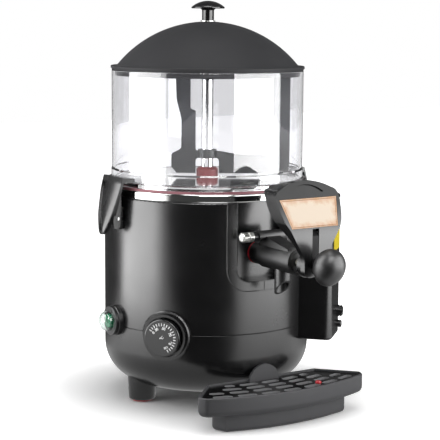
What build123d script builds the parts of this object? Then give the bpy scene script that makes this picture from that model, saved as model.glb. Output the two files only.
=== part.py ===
"""Hot chocolate dispenser: a round water-bath machine with a clear jar, a stirrer and a piston tap.

Millimetres. +Z is up, the front (the tap side) faces -Y, and the origin is on the body's axis,
on the table. Angles round the body are degrees from the front, positive towards +X.
"""
import os
from math import asin, cos, degrees, radians, sin, sqrt

from build123d import *

os.makedirs("parts", exist_ok=True)

# Body: bowl-shaped base pan below the seam, straight shell above it
BODY_R = 120.0
WALL = 3.5
PAN_BOTTOM_Z = 18.0
PAN_ROUND_R = 46.0
SEAM_Z = 92.0
BODY_TOP_Z = 240.0
SEAM_CHAMFER = 0.7
LEG_CIRCLE_R = 88.0
LEG_ANGLES = (0.0, 90.0, 180.0, 270.0)
LEG_TOP_R = 14.0
LEG_FOOT_R = 12.4
LEG_TOP_Z = 36.0
PAD_R = 11.6
PAD_H = 4.0

# Side box, a radial bulge that houses the wiring; split by the same seam
BOX_ANGLE = 43.0
BOX_OUT_R = 155.0
BOX_IN_R = 96.0
BOX_HALF_W = 28.0
BOX_CORNER_R = 8.0
BOX_BOTTOM_Z = 74.5
BOX_EDGE_R = 3.0
GLAND_Z = 102.0
GLAND_SIDE = 14.0
GLAND_BORE_R = 3.6
GLAND_RIBS = [
    (-11.5, 7.0, 7.2), (-4.5, 4.5, 5.0), (0.0, 2.0, 9.8), (2.0, 1.4, 8.4), (3.4, 1.6, 9.4), (5.0, 1.2, 7.6),
]

# Outlet cover, the U-shaped insert that the tap comes through
COVER_HALF_W = 44.2
COVER_BOTTOM_Z = 140.5
COVER_CORNER_R = 24.0
COVER_GAP = 0.4
POCKET_HALF_W = 33.5
POCKET_BOTTOM_Z = 151.0
POCKET_CORNER_R = 14.0
POCKET_R = 106.0
POCKET_WALL = 2.2

# Heated floor and water bath
RING_R = 118.2
RING_TOP_Z = 249.0
FLOOR_R = 105.5
FLOOR_Z = 257.0
SHEET = 1.5
TANK_R = 99.0
TANK_BOTTOM_Z = 120.0
SLEEVE_R = 11.0
OUTLET_Y = -84.0
PIPE_R = 9.6
PIPE_BORE_R = 8.0

PIPE_FRONT_Y = -112.0
PIPE_BEND_R = 14.0
HEATER_Z = 138.0
HEATER_R = 70.0
HEATER_TUBE_R = 4.0
HEATER_LEG_Y = 70.0
BRACKET_Z = 50.0
MOTOR_Y = 20.0
MOTOR_R = 17.0

# Jar and lid
JAR_R = 111.3
JAR_BORE_R = 108.2
JAR_TOP_Z = 381.0
GASKET_T = 2.5
JAR_FLANGE_R = 115.8
JAR_FLANGE_T = 5.4
JAR_STEP_R = 112.0
JAR_STEP_T = 10.0
LID_GAP = 0.3
LID_RIM_R = 112.4
LID_RIM_T = 4.4
LID_DOME_R = 108.4
LID_DOME_H = 50.6
LID_DOME_POINTS = [(40.0, 431.5), (67.0, 425.0), (92.0, 409.5), (102.0, 400.5)]
LID_T = 2.5
LID_SKIRT_R = 107.4
LID_SKIRT_H = 6.8
KNOB_R = 19.2
KNOB_STEM_R = 6.9
KNOB_TOP_Z = 460.0
KNOB_SCREW_R = 2.5
KNOB_CROWN_R = 130.0

# Stirrer, a flat moulded paddle on a polished shaft; its flat lies along PADDLE_ANGLE
SHAFT_R = 7.0
SHAFT_TOP_Z = 372.0
PADDLE_ANGLE = -33.0
PADDLE_T = 5.0
PADDLE_HUB_Z = 278.5
PADDLE_POINTS = [
    (-37.0, 373.0), (-35.8, 345.0), (-30.4, 325.0), (-30.4, 289.0), (-42.0, 283.0), (-42.0, 268.0),
    (-36.0, 260.6), (-13.6, 260.6), (-13.6, 278.5), (13.6, 278.5), (13.6, 260.6), (76.0, 260.6),
    (96.3, 267.0), (96.3, 373.0), (76.4, 373.0), (76.4, 282.0), (31.0, 283.4), (14.0, 286.5),
    (-13.7, 286.5), (-13.7, 333.0), (-19.8, 336.0), (-19.8, 373.0),
]
PADDLE_ROUNDS = [
    ((-30.4, 289.0), 5.0), ((-42.0, 283.0), 2.5), ((-13.6, 278.5), 4.0), ((13.6, 278.5), 4.0),
    ((96.3, 267.0), 9.0), ((76.4, 282.0), 6.0), ((-13.7, 286.5), 3.0), ((-19.8, 336.0), 1.5),
]
SEAL_R = 12.6
SEAL_TOP_Z = 268.0

# Tap: barrel, nozzle, cross boss with lock pin, sign frame, lever and piston
TAP_Z = 181.5
BARREL_R = 14.3
BARREL_REAR_R = 12.7
BARREL_BORE_R = 11.0
BARREL_BACK_Y = -107.5
O_RING_BACK_Y = -104.6
BARREL_STEP_Y = -123.0
BARREL_FRONT_Y = -184.0
GUTTER_TOP_Z = 173.0
BOSS_Y = -130.0
BOSS_Z = 203.5
BOSS_R = 6.2
BOSS_HALF_L = 18.0
NOZZLE_Y = -155.0
NOZZLE_R = 9.0
NOZZLE_BORE_R = 6.8
NOZZLE_LOW_Z = 140.0
FRAME_FACE_Y = -214.0
FRAME_FOOT_T = 7.5
FRAME_BEND_Z = 221.0
FRAME_TILT = 24.8
FRAME_LOW_Z = 170.0
FRAME_TOP_Z = 270.5
FRAME_HALF_W = 40.5
FRAME_WALL = 3.0
SLOT_HALF_W = 4.3
LEVER_HALF_W = 3.8
SOCKET_BACK_Y = -199.0
SOCKET_R = 13.6
SOCKET_BORE_R = 10.6
SADDLE_HALF_W = 9.0
SADDLE_POINTS = [
    (-121.0, 188.0), (-124.5, 203.5), (-136.0, 203.5), (-158.0, 198.0), (-176.0, 194.5), (-178.0, 188.0),
]
CAVITY_LOW_Z = 206.0
FRAME_BACK_POINTS = [
    (-170.5, 264.0), (-178.5, 252.0), (-184.5, 238.0), (-191.5, 226.0), (-202.5, 212.0), (-206.5, 203.0),
]
CARD_DEPTH = 1.0
CARD_T = 0.8
CARD_POINTS = [(-29.9, 2.2), (29.9, 2.2), (37.0, 34.7), (-37.0, 34.7)]
SLOT_LOW_Z = 173.5
LEVER_PIVOT_Y = -206.5
PIVOT_BOSS_X = 9.0
PIVOT_BOSS_R = 4.6
LEVER_EYE_R = 3.4
LEVER_FRONT_Y = -213.7
LEVER_BACK_Y = -207.0
LEVER_LOW_Z = 176.0
LEVER_PIN_L = 16.0
SPRING_R = 3.0
SPRING_WIRE_R = 0.55
SPRING_PITCH = 1.5
SPRING_TURNS = 3.5
NECK_R = 5.4
NECK_BACK_Y = -214.6
EGG_UP = 19.6
EGG_DOWN = 21.4
HEAD_R = 10.7
HEAD_BACK_Y = -138.0
HEAD_FRONT_Y = -146.0
ROD_R = 4.0
ROD_FRONT_Y = -191.0
LINK_PIN_R = 1.5
LINK_PLAY = 0.6
LINK_RISE = 5.0
LINK_GAP = 4.4
LINK_FLAT_T = 3.6
LOCK_END_X = -39.0
LOCK_HEAD_R = 5.5
LOCK_STEM_R = 3.4
LEVER_PIVOT_Z = 221.0
LEVER_PIN_R = 2.0
LINK_Y = -203.0
EGG_Y = -238.5
EGG_Z = 184.4
EGG_R = 16.8
EGG_TILT = 25.0

# Side latches that hold the jar down
LATCH_PIVOT_X = 128.0
LATCH_PIVOT_Z = 217.0
LATCH_HALF_W = 16.5
LATCH_CHEEK_IN = 12.6
LATCH_CHEEK_OUT = 16.0
LATCH_PIN_R = 2.0
HOOK_GAP = 0.4
HOOK_TIP_X = 112.7
LATCH_OUTER = [(-124.5, 263.2), (-130.2, 250.0), (-132.2, 232.0), (-135.3, 215.0), (-140.5, 199.5)]
LATCH_INNER = [(-137.0, 199.0), (-132.3, 214.0), (-129.2, 232.0), (-126.8, 248.0), (-124.2, 257.3)]
LEAF_POINTS = [(16.4, 266.0), (16.4, 240.0), (14.6, 222.0), (7.2, 202.0)]
LEAF_TIP_Z = 198.0
CHEEK_POINTS = [
    (-130.0, 250.0), (-124.2, 248.0), (-123.6, 228.0), (-125.4, 206.5), (-132.5, 204.5), (-134.0, 215.0),
    (-131.0, 232.0),
]
EAR_IN = 8.8
EAR_OUT = 12.2
EAR_R = 3.4
EAR_TOP_Z = 221.0

# Thermostat dial and lit switch
DIAL_ANGLE = -54.0
DIAL_Z = 90.0
DIAL_R = 21.0
DIAL_BACK_R = 122.6
DIAL_FACE_R = 134.0
DIAL_STEM_R = 3.0
COLLAR_R = 25.2
COLLAR_BORE_R = 22.6
COLLAR_RIM_R = 127.5
COLLAR_FOOT_R = 28.6
SWITCH_ANGLE = -92.0
SWITCH_HOLE_R = 10.6
BEZEL_R = 14.2
BEZEL_BORE_R = 9.8
ROCKER_R = 8.3
ROCKER_BACK_R = 122.0
ROCKER_FACE_R = 131.5
ROCKER_PIVOT_R = 125.0
STUD_R = 1.3
STUD_REACH = 10.8
COVER_R = 11.6
COVER_H = 11.8
COVER_T = 1.2
SWITCH_Z = 97.0

# Drip tray
TRAY_RIM_Z = 41.0
TRAY_STEP_Z = 19.0
TRAY_FRONT_Y = -188.0
TRAY_HALF_W = 110.0
TRAY_BACK_Y = -116.5
TRAY_BACK_HALF_W = 57.0
TRAY_FRONT_X = 105.0
TRAY_FRONT_R = 274.3
TRAY_SHOULDER_Y = TRAY_FRONT_Y + TRAY_FRONT_R - sqrt(TRAY_FRONT_R**2 - TRAY_FRONT_X**2)
TRAY_CORNER_Y = -156.5
TRAY_WALL = 3.0
LEDGE_W = 2.5
PLINTH_INSET = 9.5
PLINTH_HALF_W = 87.0
TAB_R = 20.5
TAB_Z = 33.0
TAB_T = 3.2
TAB_BACK_Y = -119.6
SLOT_ROWS = [(261.0, 88.0), (247.5, 88.0), (234.0, 80.0), (220.5, 66.0)]
SLOT_PITCH = 28.0
SLOT_L = 22.0
SLOT_W = 6.0
FLOAT_X = 42.0
FLOAT_Y = -167.2
FLOAT_R = 3.4
FLOAT_LOW_Z = 22.4
FLOAT_TOP_Z = 41.6
GRID_TOP_Z = 39.0
GRID_T = 3.0

CLEAR = 0.3


def radial_plane(angle, radius, height):
    """Plane on the body's side: local x runs round the body, local y up, local z outwards."""
    turn = radians(angle)
    return Plane(
        origin=(radius * sin(turn), -radius * cos(turn), height),
        x_dir=(cos(turn), sin(turn), 0),
        z_dir=(sin(turn), -cos(turn), 0),
    )


def side_plane(x):
    """Plane across the machine at x: local x runs to the back (+Y), local y up, local z to +X."""
    return Plane(origin=(x, 0, 0), x_dir=(0, 1, 0), z_dir=(1, 0, 0))


def around(angle, radius):
    """Point in plan at an angle from the front and a distance from the axis."""
    turn = radians(angle)
    return radius * sin(turn), -radius * cos(turn)


def save(piece, name):
    """Label a finished piece and write it."""
    piece.part.label = name
    export_step(piece.part, f"parts/{name}.step")


def half_turn_profile(*points):
    """Closed outline in the r-z half plane, revolved round the body's axis."""
    with BuildSketch(Plane.XZ) as section:
        with BuildLine():
            Polyline(*points, close=True)
        make_face()
    revolve(section.sketch, axis=Axis.Z)


def bowl(radius, bottom_z, round_r, mode=Mode.ADD):
    """Bowl up to the seam: flat bottom, round shoulder, straight side."""
    flat_r = radius - round_r
    with BuildSketch(Plane.XZ) as section:
        with BuildLine():
            Line((0, bottom_z), (flat_r, bottom_z))
            CenterArc((flat_r, bottom_z + round_r), round_r, -90, 90)
            Polyline((radius, bottom_z + round_r), (radius, SEAM_Z), (0, SEAM_Z), (0, bottom_z))
        make_face()
    revolve(section.sketch, axis=Axis.Z, mode=mode)


def box_outline(half_width, out_r, corner_r):
    """Plan outline of the side box, with round outer corners, in a sketch on a level plane."""
    depth = out_r - BOX_IN_R
    with Locations(around(BOX_ANGLE, BOX_IN_R + depth / 2)):
        plan = Rectangle(depth, 2 * half_width, rotation=BOX_ANGLE - 90)
    outer_corners = plan.vertices().sort_by_distance((0, 0))[-2:]
    fillet(outer_corners, corner_r)


def u_outline(half_width, bottom_z, corner_r):
    """Front view of the U-shaped cut-out, open at the top, in a sketch on a front plane."""
    top_z = BODY_TOP_Z + 10
    with Locations((0, (bottom_z + top_z) / 2)):
        shape = Rectangle(2 * half_width, top_z - bottom_z)
    fillet(shape.vertices().group_by(Axis.Y)[0], corner_r)


# Collar round the thermostat dial, cut in two by the seam
with BuildPart() as dial_collar:
    with BuildSketch(radial_plane(DIAL_ANGLE, BODY_R - 12, DIAL_Z)):
        Circle(COLLAR_FOOT_R)
    extrude(amount=15)
    with BuildSketch(radial_plane(DIAL_ANGLE, BODY_R - 12, DIAL_Z)):
        Circle(COLLAR_R)
    extrude(amount=COLLAR_RIM_R - BODY_R + 12)
    chamfer(dial_collar.edges().filter_by(GeomType.CIRCLE).sort_by(SortBy.LENGTH)[-2:], 1.2)
    with BuildSketch(radial_plane(DIAL_ANGLE, BODY_R + 0.8, DIAL_Z)):
        Circle(COLLAR_BORE_R)
    extrude(amount=30, mode=Mode.SUBTRACT)

with BuildPart() as collar_top:
    add(dial_collar.part)
    split(bisect_by=Plane.XY.offset(SEAM_Z), keep=Keep.TOP)

with BuildPart() as collar_foot:
    add(dial_collar.part)
    split(bisect_by=Plane.XY.offset(SEAM_Z), keep=Keep.BOTTOM)

# Side box halves, solid, before the shells are hollowed
with BuildPart() as box_top:
    with BuildSketch(Plane.XY.offset(SEAM_Z)):
        box_outline(BOX_HALF_W, BOX_OUT_R, BOX_CORNER_R)
    extrude(amount=BODY_TOP_Z - SEAM_Z)
    fillet(box_top.faces().sort_by(Axis.Z)[-1].edges(), BOX_EDGE_R)

with BuildPart() as box_foot:
    with BuildSketch(Plane.XY.offset(BOX_BOTTOM_Z)):
        box_outline(BOX_HALF_W, BOX_OUT_R, BOX_CORNER_R)
    extrude(amount=SEAM_Z - BOX_BOTTOM_Z)
    fillet(box_foot.faces().sort_by(Axis.Z)[0].edges(), BOX_EDGE_R)

# Base pan: bowl, four legs, foot of the side box
with BuildPart() as base_pan:
    bowl(BODY_R, PAN_BOTTOM_Z, PAN_ROUND_R)
    seam_edges = base_pan.edges().filter_by(GeomType.CIRCLE).group_by(Axis.Z)[-1]
    chamfer(seam_edges, SEAM_CHAMFER)
    add(box_foot.part)
    add(collar_foot.part)
    for leg_angle in LEG_ANGLES:
        leg_x, leg_y = around(leg_angle, LEG_CIRCLE_R)
        with Locations((leg_x, leg_y, (PAD_H + LEG_TOP_Z) / 2)):
            Cone(LEG_FOOT_R, LEG_TOP_R, LEG_TOP_Z - PAD_H)
    bowl(BODY_R - WALL, PAN_BOTTOM_Z + WALL, PAN_ROUND_R - WALL, mode=Mode.SUBTRACT)
    with BuildSketch(Plane.XY.offset(BOX_BOTTOM_Z + WALL)):
        box_outline(BOX_HALF_W - WALL, BOX_OUT_R - WALL, BOX_CORNER_R - WALL)
    extrude(amount=SEAM_Z - BOX_BOTTOM_Z, mode=Mode.SUBTRACT)
    with BuildSketch(radial_plane(DIAL_ANGLE, 90, DIAL_Z)):
        Circle(5)
    extrude(amount=60, mode=Mode.SUBTRACT)
    with BuildSketch(radial_plane(SWITCH_ANGLE, 90, SWITCH_Z)):
        Circle(SWITCH_HOLE_R)
    extrude(amount=60, mode=Mode.SUBTRACT)
    with BuildSketch(Plane.XY):
        with PolarLocations(44, 10):
            SlotOverall(26, 4)
        with PolarLocations(62, 4, start_angle=45):
            Circle(2.3)
    extrude(amount=PAN_BOTTOM_Z + WALL + 1, mode=Mode.SUBTRACT)
save(base_pan, "base_pan")

with BuildPart() as leg_pads:
    for leg_angle in LEG_ANGLES:
        pad_x, pad_y = around(leg_angle, LEG_CIRCLE_R)
        with Locations((pad_x, pad_y, PAD_H / 2)):
            Cylinder(PAD_R, PAD_H)
    chamfer(leg_pads.edges().group_by(Axis.Z)[0], 0.8)
save(leg_pads, "leg_pads")

with BuildPart() as base_screws:
    for screw_turn in range(4):
        screw_x, screw_y = around(45 + 90 * screw_turn, 62)
        with Locations((screw_x, screw_y, PAN_BOTTOM_Z - 1.2)):
            Cylinder(4.2, 2.4)
        with Locations((screw_x, screw_y, PAN_BOTTOM_Z + 5)):
            Cylinder(2.1, 10)
save(base_screws, "base_screws")

# Upper shell: straight wall, side box, dial collar, U-shaped cut-out for the tap
with BuildPart() as body_shell:
    with Locations((0, 0, (SEAM_Z + BODY_TOP_Z) / 2)):
        Cylinder(BODY_R, BODY_TOP_Z - SEAM_Z)
    rim_edges = body_shell.edges().filter_by(GeomType.CIRCLE).sort_by(Axis.Z)
    chamfer(rim_edges[0], SEAM_CHAMFER)
    fillet(rim_edges[-1], 1.6)
    add(box_top.part)
    add(collar_top.part)
    with Locations((0, 0, (SEAM_Z + BODY_TOP_Z) / 2)):
        Cylinder(BODY_R - WALL, BODY_TOP_Z - SEAM_Z + 2, mode=Mode.SUBTRACT)
    with BuildSketch(Plane.XY.offset(SEAM_Z)):
        box_outline(BOX_HALF_W - WALL, BOX_OUT_R - WALL, BOX_CORNER_R - WALL)
    extrude(amount=BODY_TOP_Z - SEAM_Z - WALL, mode=Mode.SUBTRACT)
    with BuildSketch(Plane.XZ.offset(90)):
        u_outline(COVER_HALF_W + COVER_GAP, COVER_BOTTOM_Z - COVER_GAP, COVER_CORNER_R + COVER_GAP)
    extrude(amount=40, mode=Mode.SUBTRACT)
    with BuildSketch(radial_plane(DIAL_ANGLE, 90, DIAL_Z)):
        Circle(5)
    extrude(amount=60, mode=Mode.SUBTRACT)
    with BuildSketch(radial_plane(SWITCH_ANGLE, 90, SWITCH_Z)):
        Circle(SWITCH_HOLE_R)
    extrude(amount=60, mode=Mode.SUBTRACT)
    with BuildSketch(radial_plane(BOX_ANGLE, BOX_OUT_R - 10, GLAND_Z)):
        with Locations((GLAND_SIDE, 0)):
            Circle(5.2)
    extrude(amount=20, mode=Mode.SUBTRACT)
save(body_shell, "body_shell")

# Outlet cover: rim band flush with the shell, pocket set back behind it
with BuildPart() as cover_band:
    with BuildSketch(Plane.XZ.offset(90)):
        u_outline(COVER_HALF_W, COVER_BOTTOM_Z, COVER_CORNER_R)
    extrude(amount=40)
    with BuildSketch():
        Circle(BODY_R)
        Circle(BODY_R - WALL, mode=Mode.SUBTRACT)
    extrude(amount=BODY_TOP_Z, mode=Mode.INTERSECT)

with BuildPart() as cover_pocket:
    with BuildSketch(Plane.XZ.offset(90)):
        u_outline(
            POCKET_HALF_W + POCKET_WALL, POCKET_BOTTOM_Z - POCKET_WALL, POCKET_CORNER_R + POCKET_WALL
        )
    extrude(amount=40)
    with BuildSketch():
        Circle(BODY_R - 1)
        Circle(POCKET_R - POCKET_WALL, mode=Mode.SUBTRACT)
    extrude(amount=BODY_TOP_Z, mode=Mode.INTERSECT)

with BuildPart() as cover_recess:
    with BuildSketch(Plane.XZ.offset(90)):
        u_outline(POCKET_HALF_W, POCKET_BOTTOM_Z, POCKET_CORNER_R)
    extrude(amount=40)
    with BuildSketch():
        Circle(BODY_R + 10)
        Circle(POCKET_R, mode=Mode.SUBTRACT)
    extrude(amount=BODY_TOP_Z + 5, mode=Mode.INTERSECT)

with BuildPart() as outlet_cover:
    add(cover_band.part)
    add(cover_pocket.part)
    add(cover_recess.part, mode=Mode.SUBTRACT)
    with BuildSketch(Plane.XZ.offset(90)):
        with Locations((0, TAP_Z)):
            Circle(BARREL_REAR_R + 0.2)
    extrude(amount=40, mode=Mode.SUBTRACT)
    with BuildSketch(Plane.XZ.offset(BODY_R - 0.8)):
        with Locations((0, (COVER_BOTTOM_Z + POCKET_BOTTOM_Z) / 2)):
            Rectangle(0.8, POCKET_BOTTOM_Z - COVER_BOTTOM_Z + 2)
    extrude(amount=5, mode=Mode.SUBTRACT)
save(outlet_cover, "outlet_cover")

# Heated floor: raised pan, gasket seat and polished outer ring in one pressing
with BuildPart() as heated_floor:
    with BuildSketch(Plane.XZ) as floor_section:
        with BuildLine():
            Polyline(
                (SHAFT_R + 1.5, FLOOR_Z),
                (FLOOR_R, FLOOR_Z),
                (FLOOR_R, RING_TOP_Z),
                (RING_R, RING_TOP_Z),
                (RING_R, BODY_TOP_Z),
                (RING_R - SHEET, BODY_TOP_Z),
                (RING_R - SHEET, RING_TOP_Z - SHEET),
                (FLOOR_R - SHEET, RING_TOP_Z - SHEET),
                (FLOOR_R - SHEET, FLOOR_Z - SHEET),
                (SHAFT_R + 1.5, FLOOR_Z - SHEET),
                close=True,
            )
        make_face()
        ring_corner = floor_section.vertices().sort_by_distance((RING_R, RING_TOP_Z))[0]
        floor_corner = floor_section.vertices().sort_by_distance((FLOOR_R, FLOOR_Z))[0]
        fillet([ring_corner, floor_corner], 2.2)
    revolve(axis=Axis.Z)
    with BuildSketch(Plane.XY.offset(FLOOR_Z - 5)):
        with Locations((0, OUTLET_Y)):
            Circle(PIPE_BORE_R)
    extrude(amount=10, mode=Mode.SUBTRACT)
save(heated_floor, "heated_floor")

with BuildPart() as water_tank:
    half_turn_profile(
        (SLEEVE_R - SHEET, TANK_BOTTOM_Z),
        (TANK_R, TANK_BOTTOM_Z),
        (TANK_R, BODY_TOP_Z - 2 * SHEET),
        (BODY_R - WALL - 0.2, BODY_TOP_Z - 2 * SHEET),
        (BODY_R - WALL - 0.2, BODY_TOP_Z - SHEET),
        (TANK_R - SHEET, BODY_TOP_Z - SHEET),
        (TANK_R - SHEET, TANK_BOTTOM_Z + SHEET),
        (SLEEVE_R, TANK_BOTTOM_Z + SHEET),
        (SLEEVE_R, FLOOR_Z - SHEET),
        (SLEEVE_R - SHEET, FLOOR_Z - SHEET),
    )
    with BuildSketch(Plane.XZ.offset(80)):
        with Locations((0, TAP_Z)):
            Circle(PIPE_R + 0.1)
    extrude(amount=30, mode=Mode.SUBTRACT)
    with BuildSketch(Plane.XY.offset(TANK_BOTTOM_Z)):
        with Locations((-8, HEATER_LEG_Y), (8, HEATER_LEG_Y)):
            Circle(HEATER_TUBE_R + 0.2)
    extrude(amount=SHEET, mode=Mode.SUBTRACT)
    with BuildSketch(Plane.XZ.offset(90)):
        u_outline(COVER_HALF_W + 3, COVER_BOTTOM_Z - 3, COVER_CORNER_R + 3)
    extrude(amount=40, mode=Mode.SUBTRACT)
save(water_tank, "water_tank")

with BuildPart() as ring_heater:
    with Locations((0, 0, HEATER_Z)):
        Torus(HEATER_R, HEATER_TUBE_R)
    with Locations((-8, HEATER_LEG_Y, HEATER_Z - 14), (8, HEATER_LEG_Y, HEATER_Z - 14)):
        Cylinder(HEATER_TUBE_R, 28)
save(ring_heater, "ring_heater")

# Outlet pipe: down from the heated floor through the bath, then forward to the tap
with BuildPart() as outlet_pipe:
    with BuildLine() as pipe_line:
        Polyline(
            (0, OUTLET_Y, FLOOR_Z - SHEET),
            (0, OUTLET_Y, TAP_Z),
            (0, PIPE_FRONT_Y, TAP_Z),
        )
        fillet(pipe_line.vertices().sort_by(Axis.Z)[0:2].sort_by(Axis.Y)[-1:], PIPE_BEND_R)
    with BuildSketch(Plane.XY.offset(FLOOR_Z - SHEET)):
        with Locations((0, OUTLET_Y)):
            Circle(PIPE_R)
            Circle(PIPE_BORE_R, mode=Mode.SUBTRACT)
    sweep(path=pipe_line.wires()[0])
save(outlet_pipe, "outlet_pipe")

# Drive: gear motor on a bracket, shaft through the bath's sleeve
with BuildPart() as motor_bracket:
    with BuildSketch(Plane.XY.offset(BRACKET_Z)):
        RectangleRounded(108, 64, 8)
        with GridLocations(92, 48, 2, 2):
            Circle(2.4, mode=Mode.SUBTRACT)
        with Locations((0, MOTOR_Y)):
            Circle(MOTOR_R + 0.4, mode=Mode.SUBTRACT)
    extrude(amount=2)
    with BuildSketch(Plane.XY.offset(PAN_BOTTOM_Z + WALL)):
        with GridLocations(92, 48, 2, 2):
            Circle(6)
            Circle(2.4, mode=Mode.SUBTRACT)
    extrude(amount=BRACKET_Z - PAN_BOTTOM_Z - WALL)
save(motor_bracket, "motor_bracket")

with BuildPart() as gear_motor:
    with BuildSketch(Plane.XY.offset(BRACKET_Z + 2)):
        with Locations((0, 8)):
            RectangleRounded(50, 62, 10)
    extrude(amount=24)
    fillet(gear_motor.faces().sort_by(Axis.Z)[-1].edges(), 2)
    with Locations((0, 0, BRACKET_Z + 28)):
        Cylinder(11, 8)
    with Locations((0, MOTOR_Y, BRACKET_Z - 7)):
        Cylinder(MOTOR_R, 18)
    with Locations((0, 0, BRACKET_Z + 24)):
        Cylinder(SHAFT_R - 0.7, 18, mode=Mode.SUBTRACT)
save(gear_motor, "gear_motor")

with BuildPart() as drive_shaft:
    half_turn_profile(
        (0, BRACKET_Z + 17),
        (SHAFT_R - 1, BRACKET_Z + 17),
        (SHAFT_R - 1, FLOOR_Z - 3),
        (SHAFT_R, FLOOR_Z - 1),
        (SHAFT_R, SHAFT_TOP_Z - 2.5),
        (SHAFT_R - 2.5, SHAFT_TOP_Z),
        (0, SHAFT_TOP_Z),
    )
save(drive_shaft, "drive_shaft")

with BuildPart() as shaft_seal:
    half_turn_profile(
        (SHAFT_R + CLEAR, FLOOR_Z),
        (SEAL_R, FLOOR_Z),
        (SEAL_R, SEAL_TOP_Z - 2.5),
        (SEAL_R - 2.5, SEAL_TOP_Z),
        (SHAFT_R + CLEAR, SEAL_TOP_Z),
    )
save(shaft_seal, "shaft_seal")

# Stirrer: stepped blade on one side, arm and wall scraper on the other, arch over the seal
with BuildPart() as stirrer:
    paddle_turn = radians(PADDLE_ANGLE)
    paddle_plane = Plane(
        origin=(0, 0, 0),
        x_dir=(cos(paddle_turn), sin(paddle_turn), 0),
        z_dir=(sin(paddle_turn), -cos(paddle_turn), 0),
    )
    with BuildSketch(paddle_plane) as paddle_outline:
        with BuildLine():
            Polyline(*PADDLE_POINTS, close=True)
        make_face()
        for corner, corner_r in PADDLE_ROUNDS:
            fillet(paddle_outline.vertices().sort_by_distance(corner)[0], corner_r)
    extrude(amount=PADDLE_T / 2, both=True)
    with Locations((0, 0, PADDLE_HUB_Z + 5)):
        Cylinder(SHAFT_R + 4, 10)
    with BuildSketch(Plane.XY.offset(PADDLE_HUB_Z - 1)):
        Circle(SHAFT_R + 0.05)
    extrude(amount=120, mode=Mode.SUBTRACT)
save(stirrer, "stirrer")

# Jar with a clamping flange and a red gasket under it
with BuildPart() as jar_gasket:
    half_turn_profile(
        (JAR_BORE_R, RING_TOP_Z),
        (JAR_FLANGE_R + 0.4, RING_TOP_Z),
        (JAR_FLANGE_R + 0.4, RING_TOP_Z + GASKET_T),
        (JAR_BORE_R, RING_TOP_Z + GASKET_T),
    )
    fillet(jar_gasket.edges().filter_by(GeomType.CIRCLE).sort_by(SortBy.LENGTH)[-2:], 0.9)
save(jar_gasket, "jar_gasket")

JAR_LOW_Z = RING_TOP_Z + GASKET_T
with BuildPart() as jar:
    with BuildSketch(Plane.XZ) as jar_section:
        with BuildLine():
            Polyline(
                (JAR_BORE_R, JAR_LOW_Z),
                (JAR_FLANGE_R, JAR_LOW_Z),
                (JAR_FLANGE_R, JAR_LOW_Z + JAR_FLANGE_T),
                (JAR_STEP_R, JAR_LOW_Z + JAR_FLANGE_T),
                (JAR_STEP_R, JAR_LOW_Z + JAR_FLANGE_T + JAR_STEP_T),
                (JAR_R, JAR_LOW_Z + JAR_FLANGE_T + JAR_STEP_T + 2),
                (JAR_R, JAR_TOP_Z),
                (JAR_BORE_R, JAR_TOP_Z),
                close=True,
            )
        make_face()
        flange_corners = jar_section.vertices().group_by(Axis.X)[-1]
        fillet(flange_corners, 1.2)
    revolve(axis=Axis.Z)
    fillet(jar.edges().group_by(Axis.Z)[-1], 1.2)
save(jar, "jar")

# Lid: dome on a stepped rim, locating skirt inside the jar
LID_LOW_Z = JAR_TOP_Z + LID_GAP
LID_RIM_Z = LID_LOW_Z + LID_RIM_T
LID_TOP_Z = LID_RIM_Z + LID_DOME_H
with BuildPart() as lid:
    with BuildSketch(Plane.XZ):
        with BuildLine():
            Spline(
                (0, LID_TOP_Z), *LID_DOME_POINTS, (LID_DOME_R, LID_RIM_Z),
                tangents=[(1, 0), (0.12, -1)],
            )
            Polyline(
                (LID_DOME_R, LID_RIM_Z), (LID_RIM_R, LID_RIM_Z), (LID_RIM_R, LID_LOW_Z + 1.6),
                (LID_RIM_R - 1.1, LID_LOW_Z + 1.6), (LID_RIM_R - 1.1, LID_LOW_Z), (0, LID_LOW_Z),
                (0, LID_TOP_Z),
            )
        make_face()
    revolve(axis=Axis.Z)
    with BuildSketch(Plane.XZ):
        with BuildLine():
            Spline(
                (0, LID_TOP_Z - LID_T),
                *[(r - LID_T * 0.6, z - LID_T * 0.8) for r, z in LID_DOME_POINTS],
                (LID_DOME_R - LID_T, LID_RIM_Z - 1),
                tangents=[(1, 0), (0.12, -1)],
            )
            Polyline(
                (LID_DOME_R - LID_T, LID_RIM_Z - 1), (LID_SKIRT_R - LID_T, LID_RIM_Z - 2),
                (LID_SKIRT_R - LID_T, LID_LOW_Z), (0, LID_LOW_Z), (0, LID_TOP_Z - LID_T),
            )
        make_face()
    revolve(axis=Axis.Z, mode=Mode.SUBTRACT)
    half_turn_profile(
        (LID_SKIRT_R - LID_T, LID_LOW_Z + 1),
        (LID_SKIRT_R, LID_LOW_Z + 1),
        (LID_SKIRT_R, LID_LOW_Z - LID_SKIRT_H + 1),
        (LID_SKIRT_R - 1, LID_LOW_Z - LID_SKIRT_H),
        (LID_SKIRT_R - LID_T, LID_LOW_Z - LID_SKIRT_H),
    )
    with Locations((0, 0, LID_TOP_Z)):
        Cylinder(KNOB_SCREW_R + 0.2, 20, mode=Mode.SUBTRACT)
save(lid, "lid")

with BuildPart() as knob_washer:
    with BuildSketch(Plane.XY.offset(LID_TOP_Z)):
        Circle(KNOB_STEM_R + 1.6)
        Circle(KNOB_SCREW_R + 0.2, mode=Mode.SUBTRACT)
    extrude(amount=1.2)
save(knob_washer, "knob_washer")

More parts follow.
